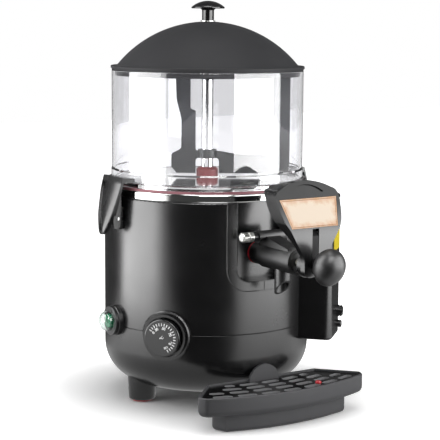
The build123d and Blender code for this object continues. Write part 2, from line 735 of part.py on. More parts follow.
KNOB_LOW_Z = LID_TOP_Z + 1.2
KNOB_CAP_Z = KNOB_TOP_Z - 7.2
KNOB_EDGE_Z = KNOB_TOP_Z - KNOB_CROWN_R + sqrt(KNOB_CROWN_R**2 - KNOB_R**2)
with BuildPart() as lid_knob:
    with BuildSketch(Plane.XZ) as knob_section:
        with BuildLine():
            Polyline(
                (0, KNOB_LOW_Z),
                (KNOB_STEM_R, KNOB_LOW_Z),
                (KNOB_STEM_R, KNOB_CAP_Z),
                (KNOB_R, KNOB_CAP_Z),
                (KNOB_R, KNOB_EDGE_Z),
            )
            crown_arc = degrees(asin(KNOB_R / KNOB_CROWN_R))
            CenterArc((0, KNOB_TOP_Z - KNOB_CROWN_R), KNOB_CROWN_R, 90, -crown_arc)
            Line((0, KNOB_TOP_Z), (0, KNOB_LOW_Z))
        make_face()
        fillet(knob_section.vertices().sort_by_distance((KNOB_STEM_R, KNOB_CAP_Z))[0], 3)
        fillet(knob_section.vertices().sort_by_distance((KNOB_R, KNOB_CAP_Z))[0], 2.4)
        fillet(knob_section.vertices().sort_by_distance((KNOB_R, KNOB_EDGE_Z))[0], 2.4)
    revolve(axis=Axis.Z)
    with BuildSketch(Plane.XY.offset(KNOB_LOW_Z)):
        Circle(KNOB_SCREW_R + 0.05)
    extrude(amount=11, mode=Mode.SUBTRACT)
save(lid_knob, "lid_knob")

with BuildPart() as knob_screw:
    half_turn_profile(
        (0, LID_TOP_Z - LID_T - 3.2),
        (4.2, LID_TOP_Z - LID_T - 3.2),
        (5, LID_TOP_Z - LID_T - 2.2),
        (5, LID_TOP_Z - LID_T - 0.6),
        (KNOB_SCREW_R, LID_TOP_Z - LID_T - 0.6),
        (KNOB_SCREW_R, KNOB_LOW_Z + 10),
        (0, KNOB_LOW_Z + 10),
    )
save(knob_screw, "knob_screw")


def along_y(back_y, front_y, radius, height, x=0.0, mode=Mode.ADD):
    """Round bar along the machine, from back_y forward to front_y."""
    with BuildSketch(Plane.XZ.offset(-back_y)) as section:
        with Locations((x, height)):
            Circle(radius)
    extrude(section.sketch, amount=back_y - front_y, mode=mode)


def across_x(from_x, to_x, radius, y, height, mode=Mode.ADD):
    """Round bar across the machine, from from_x to to_x."""
    with BuildSketch(side_plane(from_x)) as section:
        with Locations((y, height)):
            Circle(radius)
    extrude(section.sketch, amount=to_x - from_x, mode=mode)


def side_slab(from_x, to_x, points, mode=Mode.ADD):
    """Slab with a side outline of (y, z) points, from from_x to to_x."""
    with BuildSketch(side_plane(from_x)) as section:
        with BuildLine() as edge:
            Polyline(*points, close=True)
        make_face(edge.edges())
    extrude(section.sketch, amount=to_x - from_x, mode=mode)


# Tap barrel: stepped tube, nozzle with a slanted mouth, saddle and cross boss, gutter to the frame
FRAME_BACK_Y = FRAME_FACE_Y + FRAME_FOOT_T
with BuildPart() as tap_barrel:
    along_y(BARREL_STEP_Y, SOCKET_BACK_Y, BARREL_R, TAP_Z)
    chamfer(tap_barrel.edges().filter_by(GeomType.CIRCLE).sort_by(Axis.Y)[-1], 1.2)
    along_y(BARREL_BACK_Y, BARREL_STEP_Y, BARREL_REAR_R, TAP_Z)
    with BuildSketch(Plane.XY.offset(NOZZLE_LOW_Z - 2)):
        with Locations((0, NOZZLE_Y)):
            Circle(NOZZLE_R)
    extrude(amount=TAP_Z - NOZZLE_LOW_Z)
    side_slab(
        -NOZZLE_R - 2,
        NOZZLE_R + 2,
        [
            (NOZZLE_Y + NOZZLE_R + 4, NOZZLE_LOW_Z - 4),
            (NOZZLE_Y - NOZZLE_R - 6, NOZZLE_LOW_Z + 2 * NOZZLE_R + 6),
            (NOZZLE_Y - NOZZLE_R - 6, NOZZLE_LOW_Z - 6),
            (NOZZLE_Y + NOZZLE_R + 4, NOZZLE_LOW_Z - 6),
        ],
        mode=Mode.SUBTRACT,
    )
    side_slab(-SADDLE_HALF_W, SADDLE_HALF_W, SADDLE_POINTS)
    saddle_edges = tap_barrel.edges().filter_by(GeomType.LINE).filter_by(Axis.X)
    fillet(saddle_edges.sort_by(Axis.Z)[-2:], 3.0)
    across_x(-BOSS_HALF_L, BOSS_HALF_L + 1, BOSS_R, BOSS_Y, BOSS_Z)
    across_x(-BOSS_HALF_L, 3 - BOSS_HALF_L, BOSS_R + 1, BOSS_Y, BOSS_Z)
    across_x(-BOSS_HALF_L - 1, BOSS_HALF_L + 2, LOCK_STEM_R + 0.1, BOSS_Y, BOSS_Z, mode=Mode.SUBTRACT)
    along_y(BARREL_BACK_Y + 1, SOCKET_BACK_Y - 1, BARREL_BORE_R, TAP_Z, mode=Mode.SUBTRACT)
    with BuildSketch(Plane.XY.offset(NOZZLE_LOW_Z - 3)):
        with Locations((0, NOZZLE_Y)):
            Circle(NOZZLE_BORE_R)
    extrude(amount=TAP_Z - NOZZLE_LOW_Z, mode=Mode.SUBTRACT)
    side_slab(
        -BARREL_R - 5,
        BARREL_R + 5,
        [
            (BARREL_FRONT_Y, GUTTER_TOP_Z),
            (SOCKET_BACK_Y - 2, GUTTER_TOP_Z),
            (SOCKET_BACK_Y - 2, BOSS_Z + 20),
            (BARREL_FRONT_Y, BOSS_Z + 20),
        ],
        mode=Mode.SUBTRACT,
    )
save(tap_barrel, "tap_barrel")

with BuildPart() as tap_o_ring:
    along_y(O_RING_BACK_Y, BARREL_BACK_Y, BARREL_REAR_R + 0.15, TAP_Z)
    fillet(tap_o_ring.edges().filter_by(GeomType.CIRCLE), 0.8)
    along_y(O_RING_BACK_Y + 1, BARREL_BACK_Y - 1, PIPE_R + 0.1, TAP_Z, mode=Mode.SUBTRACT)
save(tap_o_ring, "tap_o_ring")

with BuildPart() as rod_gland:
    along_y(BARREL_FRONT_Y + 8, BARREL_FRONT_Y, BARREL_BORE_R - 0.05, TAP_Z)
    chamfer(rod_gland.edges().filter_by(GeomType.CIRCLE).sort_by(Axis.Y)[0], 0.8)
    along_y(BARREL_FRONT_Y + 9, BARREL_FRONT_Y - 1, ROD_R + 0.08, TAP_Z, mode=Mode.SUBTRACT)
save(rod_gland, "rod_gland")

with BuildPart() as lock_pin:
    across_x(LOCK_END_X, -BOSS_HALF_L - 0.4, LOCK_HEAD_R, BOSS_Y, BOSS_Z)
    fillet(lock_pin.edges().filter_by(GeomType.CIRCLE).sort_by(Axis.X)[0], 2.6)
    with BuildSketch(side_plane(LOCK_END_X + 8)):
        with Locations((BOSS_Y, BOSS_Z)):
            Circle(LOCK_HEAD_R + 1)
            Circle(LOCK_HEAD_R - 0.9, mode=Mode.SUBTRACT)
    extrude(amount=2, mode=Mode.SUBTRACT)
    across_x(-BOSS_HALF_L - 1, BOSS_HALF_L - 1, LOCK_STEM_R, BOSS_Y, BOSS_Z)
save(lock_pin, "lock_pin")

# Sign frame: hollow panel leaning back over a narrow slotted foot, socket ring round the link
FACE_PLANE = Plane(
    origin=(0, FRAME_FACE_Y, FRAME_BEND_Z),
    x_dir=(1, 0, 0),
    z_dir=(0, -cos(radians(FRAME_TILT)), sin(radians(FRAME_TILT))),
)


def frame_outline():
    """Front view of the sign frame: arched top, waisted sides, straight foot."""
    with BuildLine() as edge:
        ThreePointArc((-34, 262.0), (0, FRAME_TOP_Z), (34, 262.0))
        ThreePointArc((34, 262.0), (38.8, 259.2), (FRAME_HALF_W, 254.0))
        ThreePointArc((FRAME_HALF_W, 254.0), (39.6, 240.5), (36.2, 228.0))
        Line((36.2, 228.0), (17.4, 196.0))
        ThreePointArc((17.4, 196.0), (14.9, 191.2), (14.0, 186.0))
        Line((14.0, 186.0), (14.0, 177.0))
        ThreePointArc((14.0, 177.0), (11.95, 172.05), (7.0, FRAME_LOW_Z))
        Line((7.0, FRAME_LOW_Z), (-7.0, FRAME_LOW_Z))
        ThreePointArc((-7.0, FRAME_LOW_Z), (-11.95, 172.05), (-14.0, 177.0))
        Line((-14.0, 177.0), (-14.0, 186.0))
        ThreePointArc((-14.0, 186.0), (-14.9, 191.2), (-17.4, 196.0))
        Line((-17.4, 196.0), (-36.2, 228.0))
        ThreePointArc((-36.2, 228.0), (-39.6, 240.5), (-FRAME_HALF_W, 254.0))
        ThreePointArc((-FRAME_HALF_W, 254.0), (-38.8, 259.2), (-34, 262.0))
    make_face(edge.edges())


FACE_RISE = (FRAME_TOP_Z + 2 - FRAME_BEND_Z) / cos(radians(FRAME_TILT))
FACE_TOP_Y = FRAME_FACE_Y + FACE_RISE * sin(radians(FRAME_TILT))
with BuildPart() as frame_cavity:
    with BuildSketch(Plane.XZ.offset(140)):
        frame_outline()
        offset(amount=-FRAME_WALL, mode=Mode.REPLACE)
    extrude(amount=90)
    side_slab(
        -60,
        60,
        [
            (FRAME_FACE_Y + FRAME_WALL, CAVITY_LOW_Z),
            (FRAME_FACE_Y + FRAME_WALL, FRAME_BEND_Z),
            (FACE_TOP_Y + FRAME_WALL * 1.1, FRAME_TOP_Z + 2),
            (-150, FRAME_TOP_Z + 2),
            (-150, CAVITY_LOW_Z),
        ],
        mode=Mode.INTERSECT,
    )

with BuildPart() as sign_frame:
    with BuildSketch(Plane.XZ.offset(140)):
        frame_outline()
    extrude(amount=90)
    side_slab(
        -60,
        60,
        [
            (FRAME_FACE_Y, FRAME_LOW_Z - 1),
            (FRAME_FACE_Y, FRAME_BEND_Z),
            (FACE_TOP_Y, FRAME_TOP_Z + 2),
            *FRAME_BACK_POINTS,
            (FRAME_BACK_Y, FRAME_LOW_Z - 1),
        ],
        mode=Mode.INTERSECT,
    )
    add(frame_cavity.part, mode=Mode.SUBTRACT)
    with BuildSketch(FACE_PLANE.offset(-CARD_DEPTH)):
        with BuildLine():
            Polyline(*CARD_POINTS, close=True)
        make_face()
        offset(amount=0.3, mode=Mode.REPLACE)
    extrude(amount=10, mode=Mode.SUBTRACT)
    with BuildSketch(FACE_PLANE.offset(-1.6)):
        with BuildLine():
            ThreePointArc((-22, 41.0), (0, 50.2), (22, 41.0))
            ThreePointArc((22, 41.0), (0, 39.4), (-22, 41.0))
        make_face()
    extrude(amount=10, mode=Mode.SUBTRACT)
    along_y(SOCKET_BACK_Y, FRAME_BACK_Y, SOCKET_R, TAP_Z)
    along_y(SOCKET_BACK_Y + 1, FRAME_BACK_Y, SOCKET_BORE_R, TAP_Z, mode=Mode.SUBTRACT)
    across_x(-PIVOT_BOSS_X, PIVOT_BOSS_X, PIVOT_BOSS_R, LEVER_PIVOT_Y, LEVER_PIVOT_Z)
    across_x(-20, 20, LEVER_PIN_R + 0.02, LEVER_PIVOT_Y, LEVER_PIVOT_Z, mode=Mode.SUBTRACT)
    side_slab(
        -SLOT_HALF_W,
        SLOT_HALF_W,
        [
            (FRAME_FACE_Y - 2, SLOT_LOW_Z),
            (FRAME_FACE_Y - 2, FRAME_BEND_Z + 0.6),
            (FRAME_FACE_Y + FRAME_WALL, FRAME_BEND_Z + 0.6),
            (FRAME_FACE_Y + FRAME_WALL, LEVER_PIVOT_Z + PIVOT_BOSS_R + 1),
            (LEVER_PIVOT_Y + PIVOT_BOSS_R + 1, LEVER_PIVOT_Z + PIVOT_BOSS_R + 1),
            (LEVER_PIVOT_Y + PIVOT_BOSS_R + 1, SLOT_LOW_Z),
        ],
        mode=Mode.SUBTRACT,
    )
save(sign_frame, "sign_frame")

with BuildPart() as sign_card:
    with BuildSketch(FACE_PLANE.offset(-CARD_DEPTH)):
        with BuildLine():
            Polyline(*CARD_POINTS, close=True)
        make_face()
    extrude(amount=CARD_T)
save(sign_card, "sign_card")

with BuildPart() as lever_pin:
    across_x(-LEVER_PIN_L, LEVER_PIN_L, LEVER_PIN_R, LEVER_PIVOT_Y, LEVER_PIVOT_Z)
save(lever_pin, "lever_pin")

with BuildPart() as lever_spring:
    with BuildLine() as coil_line:
        Helix(
            pitch=SPRING_PITCH,
            height=SPRING_TURNS * SPRING_PITCH,
            radius=SPRING_R,
            center=(PIVOT_BOSS_X + 1, LEVER_PIVOT_Y, LEVER_PIVOT_Z),
            direction=(1, 0, 0),
        )
    with BuildSketch(Plane(origin=coil_line.line @ 0, z_dir=coil_line.line % 0)):
        RegularPolygon(SPRING_WIRE_R, 8)
    sweep(path=coil_line.line)
save(lever_spring, "lever_spring")

# Lever knob: upright egg, leaning forward at the top
EGG_AXIS = Axis((0, EGG_Y, EGG_Z), (0, -sin(radians(EGG_TILT)), cos(radians(EGG_TILT))))
with BuildPart() as lever_knob:
    egg_plane = Plane(
        origin=(0, EGG_Y, EGG_Z),
        x_dir=(1, 0, 0),
        z_dir=(0, -cos(radians(EGG_TILT)), -sin(radians(EGG_TILT))),
    )
    with BuildSketch(egg_plane):
        with BuildLine():
            Spline(
                (0, -EGG_DOWN), (0.71 * EGG_R, -0.71 * EGG_DOWN), (EGG_R, 0),
                tangents=[(1, 0), (0, 1)],
            )
            Spline(
                (EGG_R, 0), (0.71 * EGG_R, 0.71 * EGG_UP), (0, EGG_UP),
                tangents=[(0, 1), (-1, 0)],
            )
            Line((0, EGG_UP), (0, -EGG_DOWN))
        make_face()
    revolve(axis=EGG_AXIS)
save(lever_knob, "lever_knob")

# Lever: bar in the frame's slot, eye at the top, fork for the piston rod, neck for the knob
with BuildPart() as tap_lever:
    across_x(-LEVER_HALF_W, LEVER_HALF_W, LEVER_EYE_R, LEVER_PIVOT_Y, LEVER_PIVOT_Z)
    side_slab(
        -LEVER_HALF_W,
        LEVER_HALF_W,
        [
            (LEVER_PIVOT_Y + 2.2, LEVER_PIVOT_Z - 2.4),
            (LEVER_PIVOT_Y - 2.2, LEVER_PIVOT_Z - 2.4),
            (LEVER_FRONT_Y, LEVER_PIVOT_Z - 7.2),
            (LEVER_FRONT_Y, LEVER_LOW_Z),
            (LEVER_BACK_Y, LEVER_LOW_Z),
            (LINK_Y + 4, TAP_Z - 4),
            (LINK_Y + 4, TAP_Z + 4),
            (LEVER_BACK_Y, TAP_Z + 10),
        ],
    )
    side_slab(
        -LINK_GAP / 2,
        LINK_GAP / 2,
        [
            (LINK_Y + 6, LEVER_LOW_Z - 2),
            (LEVER_FRONT_Y + 1.6, LEVER_LOW_Z - 2),
            (LEVER_FRONT_Y + 1.6, TAP_Z + 12),
            (LINK_Y + 6, TAP_Z + 12),
        ],
        mode=Mode.SUBTRACT,
    )
    across_x(-LEVER_HALF_W, LEVER_HALF_W, LINK_PIN_R, LINK_Y, TAP_Z)
    side_slab(
        -LEVER_HALF_W,
        LEVER_HALF_W,
        [
            (LEVER_FRONT_Y + 1, EGG_Z - NECK_R),
            (NECK_BACK_Y, EGG_Z - NECK_R),
            (NECK_BACK_Y, EGG_Z + NECK_R),
            (LEVER_FRONT_Y + 1, EGG_Z + NECK_R),
        ],
    )
    along_y(NECK_BACK_Y, EGG_Y + 14, NECK_R, EGG_Z)
    add(lever_knob.part, mode=Mode.SUBTRACT)
    across_x(-10, 10, LEVER_PIN_R + 0.06, LEVER_PIVOT_Y, LEVER_PIVOT_Z, mode=Mode.SUBTRACT)
save(tap_lever, "tap_lever")

# Piston: grooved head with a seal, rod through the gland, slotted flat for the lever's link
with BuildPart() as tap_piston:
    along_y(HEAD_BACK_Y, HEAD_FRONT_Y, HEAD_R, TAP_Z)
    with BuildSketch(Plane.XZ.offset(-(HEAD_BACK_Y + HEAD_FRONT_Y) / 2 - 1.5)):
        with Locations((0, TAP_Z)):
            Circle(HEAD_R + 1)
            Circle(HEAD_R - 2, mode=Mode.SUBTRACT)
    extrude(amount=3, mode=Mode.SUBTRACT)
    along_y(HEAD_FRONT_Y, ROD_FRONT_Y, ROD_R, TAP_Z)
    side_slab(
        -LINK_FLAT_T / 2,
        LINK_FLAT_T / 2,
        [
            (ROD_FRONT_Y + 3, TAP_Z - 4.5),
            (LINK_Y - 4.6, TAP_Z - 4.5),
            (LINK_Y - 4.6, TAP_Z + 8.8),
            (LINK_Y + 4.6, TAP_Z + 8.8),
            (ROD_FRONT_Y + 3, TAP_Z + 4),
        ],
    )
    with BuildSketch(side_plane(-LINK_FLAT_T)):
        with Locations((LINK_Y, TAP_Z + LINK_RISE / 2)):
            SlotCenterToCenter(LINK_RISE, 2 * (LINK_PIN_R + LINK_PLAY), rotation=90)
    extrude(amount=2 * LINK_FLAT_T, mode=Mode.SUBTRACT)
save(tap_piston, "tap_piston")

with BuildPart() as piston_seal:
    with BuildSketch(Plane.XZ.offset(-(HEAD_BACK_Y + HEAD_FRONT_Y) / 2 - 1.4)):
        with Locations((0, TAP_Z)):
            Circle(HEAD_R + 0.08)
            Circle(HEAD_R - 1.95, mode=Mode.SUBTRACT)
    extrude(amount=2.8)
save(piston_seal, "piston_seal")

# Side latches: leaf-shaped rocker with two cheeks and a hook over the jar's flange
HOOK_Z = JAR_LOW_Z + JAR_FLANGE_T + HOOK_GAP
with BuildPart() as latch_left:
    with BuildSketch(Plane.XZ):
        with BuildLine():
            Spline(*LATCH_OUTER, tangents=[(-0.6, -1), (-0.35, -1)])
            Line(LATCH_OUTER[-1], LATCH_INNER[0])
            Spline(*LATCH_INNER, tangents=[(0.3, 1), (0.3, 1)])
            Polyline(
                LATCH_INNER[-1], (-HOOK_TIP_X, HOOK_Z), (-HOOK_TIP_X, HOOK_Z + 4.6), LATCH_OUTER[0]
            )
        make_face()
    extrude(amount=LATCH_HALF_W, both=True)
    with BuildSketch(Plane.YZ.offset(-160)):
        with BuildLine():
            Spline(*LEAF_POINTS, tangents=[(0, -1), (-0.75, -1)])
            ThreePointArc(
                LEAF_POINTS[-1], (0, LEAF_TIP_Z), (-LEAF_POINTS[-1][0], LEAF_POINTS[-1][1])
            )
            Spline(
                *[(-y, z) for y, z in reversed(LEAF_POINTS)],
                tangents=[(-0.75, 1), (0, 1)],
            )
            Line((-LEAF_POINTS[0][0], LEAF_POINTS[0][1]), LEAF_POINTS[0])
        make_face()
    extrude(amount=60, mode=Mode.INTERSECT)
    with BuildSketch(Plane.XY.offset(HOOK_Z - 10)):
        with Locations((-114, 14.5 + LATCH_HALF_W / 4), (-114, -14.5 - LATCH_HALF_W / 4)):
            Rectangle(15, LATCH_HALF_W / 2 + 8)
    extrude(amount=30, mode=Mode.SUBTRACT)
    for cheek_y in (-LATCH_CHEEK_IN, LATCH_CHEEK_OUT):
        with BuildSketch(Plane.XZ.offset(-cheek_y)) as cheek:
            with BuildLine():
                Polyline(*CHEEK_POINTS, close=True)
            make_face()
            fillet(cheek.vertices().sort_by(Axis.Y)[:2], 2.5)
        extrude(amount=LATCH_CHEEK_OUT - LATCH_CHEEK_IN)
    along_y(30, -30, LATCH_PIN_R + 0.06, LATCH_PIVOT_Z, x=-LATCH_PIVOT_X, mode=Mode.SUBTRACT)
save(latch_left, "latch_left")

with BuildPart() as latch_right:
    mirror(latch_left.part, about=Plane.YZ)
save(latch_right, "latch_right")

with BuildPart() as latch_bracket_left:
    for ear_y in (-EAR_IN, EAR_OUT):
        with BuildSketch(Plane.XZ.offset(-ear_y)):
            with BuildLine():
                Line((-112, EAR_TOP_Z), (-LATCH_PIVOT_X + 1, EAR_TOP_Z))
                ThreePointArc(
                    (-LATCH_PIVOT_X + 1, EAR_TOP_Z),
                    (-LATCH_PIVOT_X - EAR_R, LATCH_PIVOT_Z),
                    (-LATCH_PIVOT_X + 1, 2 * LATCH_PIVOT_Z - EAR_TOP_Z),
                )
                Polyline(
                    (-LATCH_PIVOT_X + 1, 2 * LATCH_PIVOT_Z - EAR_TOP_Z),
                    (-112, 2 * LATCH_PIVOT_Z - EAR_TOP_Z),
                    (-112, EAR_TOP_Z),
                )
            make_face()
        extrude(amount=EAR_OUT - EAR_IN)
    with BuildSketch(Plane.YZ.offset(-122)):
        with Locations((0, LATCH_PIVOT_Z)):
            RectangleRounded(2 * EAR_OUT, 26, 2.5)
    extrude(amount=10)
    along_y(30, -30, LATCH_PIN_R + 0.02, LATCH_PIVOT_Z, x=-LATCH_PIVOT_X, mode=Mode.SUBTRACT)
    with BuildSketch(Plane.XY.offset(LATCH_PIVOT_Z - 40)):
        Circle(BODY_R)
    extrude(amount=80, mode=Mode.SUBTRACT)
save(latch_bracket_left, "latch_bracket_left")

with BuildPart() as latch_bracket_right:
    mirror(latch_bracket_left.part, about=Plane.YZ)
save(latch_bracket_right, "latch_bracket_right")

with BuildPart() as latch_pins:
    for pin_side in (-1, 1):
        along_y(
            LATCH_CHEEK_OUT + 0.3, -LATCH_CHEEK_OUT - 0.3, LATCH_PIN_R, LATCH_PIVOT_Z,
            x=pin_side * LATCH_PIVOT_X,
        )
save(latch_pins, "latch_pins")

# Thermostat and its dial
with BuildPart() as thermostat:
    with BuildSketch(radial_plane(DIAL_ANGLE, 84, DIAL_Z)):
        RectangleRounded(34, 34, 3)
    extrude(amount=22)
    with BuildSketch(radial_plane(DIAL_ANGLE, 106, DIAL_Z)):
        Circle(4.6)
    extrude(amount=BODY_R - 106 + 0.5)
    with BuildSketch(radial_plane(DIAL_ANGLE, 102, DIAL_Z)):
        Circle(DIAL_STEM_R + 0.08)
    extrude(amount=30, mode=Mode.SUBTRACT)
save(thermostat, "thermostat")

with BuildPart() as dial:
    with BuildSketch(radial_plane(DIAL_ANGLE, DIAL_BACK_R, DIAL_Z)):
        Circle(DIAL_R)
    extrude(amount=DIAL_FACE_R - DIAL_BACK_R)
    dial_rims = dial.edges().filter_by(GeomType.CIRCLE).sort_by_distance((0, 0, DIAL_Z))
    fillet(dial_rims[-1], 1.4)
    with BuildSketch(radial_plane(DIAL_ANGLE, 106, DIAL_Z)):
        Circle(DIAL_STEM_R)
    extrude(amount=DIAL_BACK_R - 106)
save(dial, "dial")

# Lit switch: stacked bezel, rocker on two pivot studs and a clear splash cover
def rocker_pivot(radius, reach, mode=Mode.ADD):
    """Round bar along the rocker's pivot, through the middle of the switch."""
    turn = radians(SWITCH_ANGLE)
    pivot_x, pivot_y = around(SWITCH_ANGLE, ROCKER_PIVOT_R)
    pivot_plane = Plane(
        origin=(pivot_x, pivot_y, SWITCH_Z), x_dir=(0, 0, 1), z_dir=(cos(turn), sin(turn), 0)
    )
    with BuildSketch(pivot_plane) as bar:
        Circle(radius)
    extrude(bar.sketch, amount=reach, both=True, mode=mode)


with BuildPart() as switch_bezel:
    with BuildSketch(radial_plane(SWITCH_ANGLE, BODY_R - 10, SWITCH_Z)):
        Circle(BEZEL_R)
    extrude(amount=14)
    with BuildSketch(radial_plane(SWITCH_ANGLE, BODY_R + 4, SWITCH_Z)):
        Circle(BEZEL_R - 1.4)
    extrude(amount=2)
    with BuildSketch(radial_plane(SWITCH_ANGLE, BODY_R + 6, SWITCH_Z)):
        Circle(BEZEL_R - 0.4)
    extrude(amount=2.4)
    with BuildSketch(Plane.XY.offset(SWITCH_Z - 40)):
        Circle(BODY_R)
    extrude(amount=80, mode=Mode.SUBTRACT)
    with BuildSketch(radial_plane(SWITCH_ANGLE, BODY_R - 20, SWITCH_Z)):
        Circle(BEZEL_BORE_R)
    extrude(amount=40, mode=Mode.SUBTRACT)
    rocker_pivot(STUD_R + 0.05, STUD_REACH + 0.3, mode=Mode.SUBTRACT)
save(switch_bezel, "switch_bezel")

with BuildPart() as switch_body:
    with BuildSketch(radial_plane(SWITCH_ANGLE, 92, SWITCH_Z)):
        RectangleRounded(22, 15, 2)
    extrude(amount=20)
    with BuildSketch(radial_plane(SWITCH_ANGLE, 112, SWITCH_Z)):
        Circle(SWITCH_HOLE_R - 0.3)
    extrude(amount=7)
    with BuildSketch(radial_plane(SWITCH_ANGLE, 84, SWITCH_Z)):
        with Locations((-6, 0), (0, 0), (6, 0)):
            Rectangle(0.8, 6)
    extrude(amount=8)
save(switch_body, "switch_body")

with BuildPart() as switch_rocker:
    with BuildSketch(radial_plane(SWITCH_ANGLE, ROCKER_BACK_R, SWITCH_Z)):
        Circle(ROCKER_R)
    extrude(amount=ROCKER_FACE_R - ROCKER_BACK_R)
    rocker_rims = switch_rocker.edges().filter_by(GeomType.CIRCLE).sort_by_distance((0, 0, SWITCH_Z))
    fillet(rocker_rims[-1], 1.8)
    rocker_pivot(STUD_R, STUD_REACH)
save(switch_rocker, "switch_rocker")

with BuildPart() as switch_cover:
    cover_plane = radial_plane(SWITCH_ANGLE, BODY_R + 8.4, SWITCH_Z)
    cover_turn = radians(SWITCH_ANGLE)
    with BuildSketch(
        Plane(
            origin=cover_plane.origin,
            x_dir=(cos(cover_turn), sin(cover_turn), 0),
            z_dir=(0, 0, -1),
        )
    ):
        with BuildLine():
            Spline(
                (COVER_R, 0), (COVER_R - 0.6, COVER_H * 0.5), (0, COVER_H),
                tangents=[(0, 1), (-1, 0)],
            )
            Line((0, COVER_H), (0, COVER_H - COVER_T))
            Spline(
                (0, COVER_H - COVER_T), (COVER_R - COVER_T - 0.5, COVER_H * 0.5 - 0.3),
                (COVER_R - COVER_T, 0),
                tangents=[(1, 0), (0, -1)],
            )
            Line((COVER_R - COVER_T, 0), (COVER_R, 0))
        make_face()
    revolve(axis=Axis(cover_plane.origin, cover_plane.z_dir))
save(switch_cover, "switch_cover")

# Wiring: terminal block in the side box, ribbed cable gland in its outer wall
with BuildPart() as terminal_block:
    with BuildSketch(radial_plane(BOX_ANGLE, 126, 150)):
        RectangleRounded(34, 16, 1.5)
    extrude(amount=14)
    with BuildSketch(radial_plane(BOX_ANGLE, 136, 150)):
        with GridLocations(10, 8, 3, 2):
            Circle(2.2)
    extrude(amount=6, mode=Mode.SUBTRACT)
save(terminal_block, "terminal_block")

with BuildPart() as cable_gland:
    for from_r, length, rib_r in GLAND_RIBS:
        with BuildSketch(radial_plane(BOX_ANGLE, BOX_OUT_R + from_r, GLAND_Z)):
            with Locations((GLAND_SIDE, 0)):
                Circle(rib_r)
        extrude(amount=length)
    with BuildSketch(radial_plane(BOX_ANGLE, BOX_OUT_R - 12, GLAND_Z)):
        with Locations((GLAND_SIDE, 0)):
            Circle(GLAND_BORE_R)
    extrude(amount=30, mode=Mode.SUBTRACT)
save(cable_gland, "cable_gland")


# Drip tray: crescent basin on a narrower plinth, with a raised tab at the back
with BuildSketch() as tray_plan:
    with BuildLine():
        ThreePointArc(
            (-TRAY_FRONT_X, TRAY_SHOULDER_Y), (0, TRAY_FRONT_Y), (TRAY_FRONT_X, TRAY_SHOULDER_Y)
        )
        Polyline(
            (TRAY_FRONT_X, TRAY_SHOULDER_Y),
            (TRAY_HALF_W, TRAY_CORNER_Y),
            (TRAY_BACK_HALF_W, TRAY_BACK_Y),
            (-TRAY_BACK_HALF_W, TRAY_BACK_Y),
            (-TRAY_HALF_W, TRAY_CORNER_Y),
            (-TRAY_FRONT_X, TRAY_SHOULDER_Y),
        )
    make_face()
    for tray_side in (-1, 1):
        for tray_corner, tray_round in (
            ((TRAY_FRONT_X, TRAY_SHOULDER_Y), 9),
            ((TRAY_HALF_W, TRAY_CORNER_Y), 6),
            ((TRAY_BACK_HALF_W, TRAY_BACK_Y), 6),
        ):
            corner_at = (tray_side * tray_corner[0], tray_corner[1])
            fillet(tray_plan.vertices().sort_by_distance(corner_at)[0], tray_round)

with BuildPart() as drip_tray:
    with BuildSketch(Plane.XY.offset(TRAY_STEP_Z)):
        add(tray_plan.sketch)
    extrude(amount=TRAY_RIM_Z - TRAY_STEP_Z)
    fillet(drip_tray.edges().group_by(Axis.Z)[0], 5)
    fillet(drip_tray.edges().group_by(Axis.Z)[-1], 0.8)
    with BuildSketch():
        add(tray_plan.sketch)
        offset(amount=-PLINTH_INSET, mode=Mode.REPLACE)
        with Locations((0, TRAY_FRONT_Y)):
            Rectangle(2 * PLINTH_HALF_W, 200, mode=Mode.INTERSECT)
        fillet(vertices().group_by(Axis.Y)[0:2][0], 6)
    extrude(amount=TRAY_STEP_Z + 3)
    with BuildSketch():
        add(tray_plan.sketch)
        offset(amount=-PLINTH_INSET - TRAY_WALL, mode=Mode.REPLACE)
        with Locations((0, TRAY_FRONT_Y)):
            Rectangle(2 * (PLINTH_HALF_W - TRAY_WALL), 200, mode=Mode.INTERSECT)
    extrude(amount=TRAY_STEP_Z, mode=Mode.SUBTRACT)
    with BuildSketch(Plane.XY.offset(TRAY_STEP_Z + TRAY_WALL)):
        add(tray_plan.sketch)
        offset(amount=-TRAY_WALL - LEDGE_W, mode=Mode.REPLACE)
    extrude(amount=TRAY_RIM_Z, mode=Mode.SUBTRACT)
    with BuildSketch(Plane.XY.offset(GRID_TOP_Z - GRID_T - CLEAR)):
        add(tray_plan.sketch)
        offset(amount=-TRAY_WALL, mode=Mode.REPLACE)
    extrude(amount=TRAY_RIM_Z, mode=Mode.SUBTRACT)
    with BuildSketch(Plane.XZ.offset(-TAB_BACK_Y)):
        with Locations((0, TAB_Z)):
            Circle(TAB_R)
        with Locations((0, TAB_Z - TAB_R / 2)):
            Rectangle(2 * TAB_R + 2, TAB_R, mode=Mode.SUBTRACT)
    extrude(amount=TAB_T)
save(drip_tray, "drip_tray")

# Grid: plate with rows of slots that follow the front edge, a hole for the float, a notch for the tab
ROW_CENTRE_Y = TRAY_FRONT_Y + TRAY_FRONT_R


def row_places(row_r, pitch, spread):
    """Evenly spaced places along an arc that follows the tray's front edge."""
    step = degrees(pitch / row_r)
    count = int(degrees(asin(spread / row_r)) / step)
    places = []
    for index in range(-count, count + 1):
        turn = radians(index * step)
        places.append(Location((row_r * sin(turn), ROW_CENTRE_Y - row_r * cos(turn)), index * step))
    return places


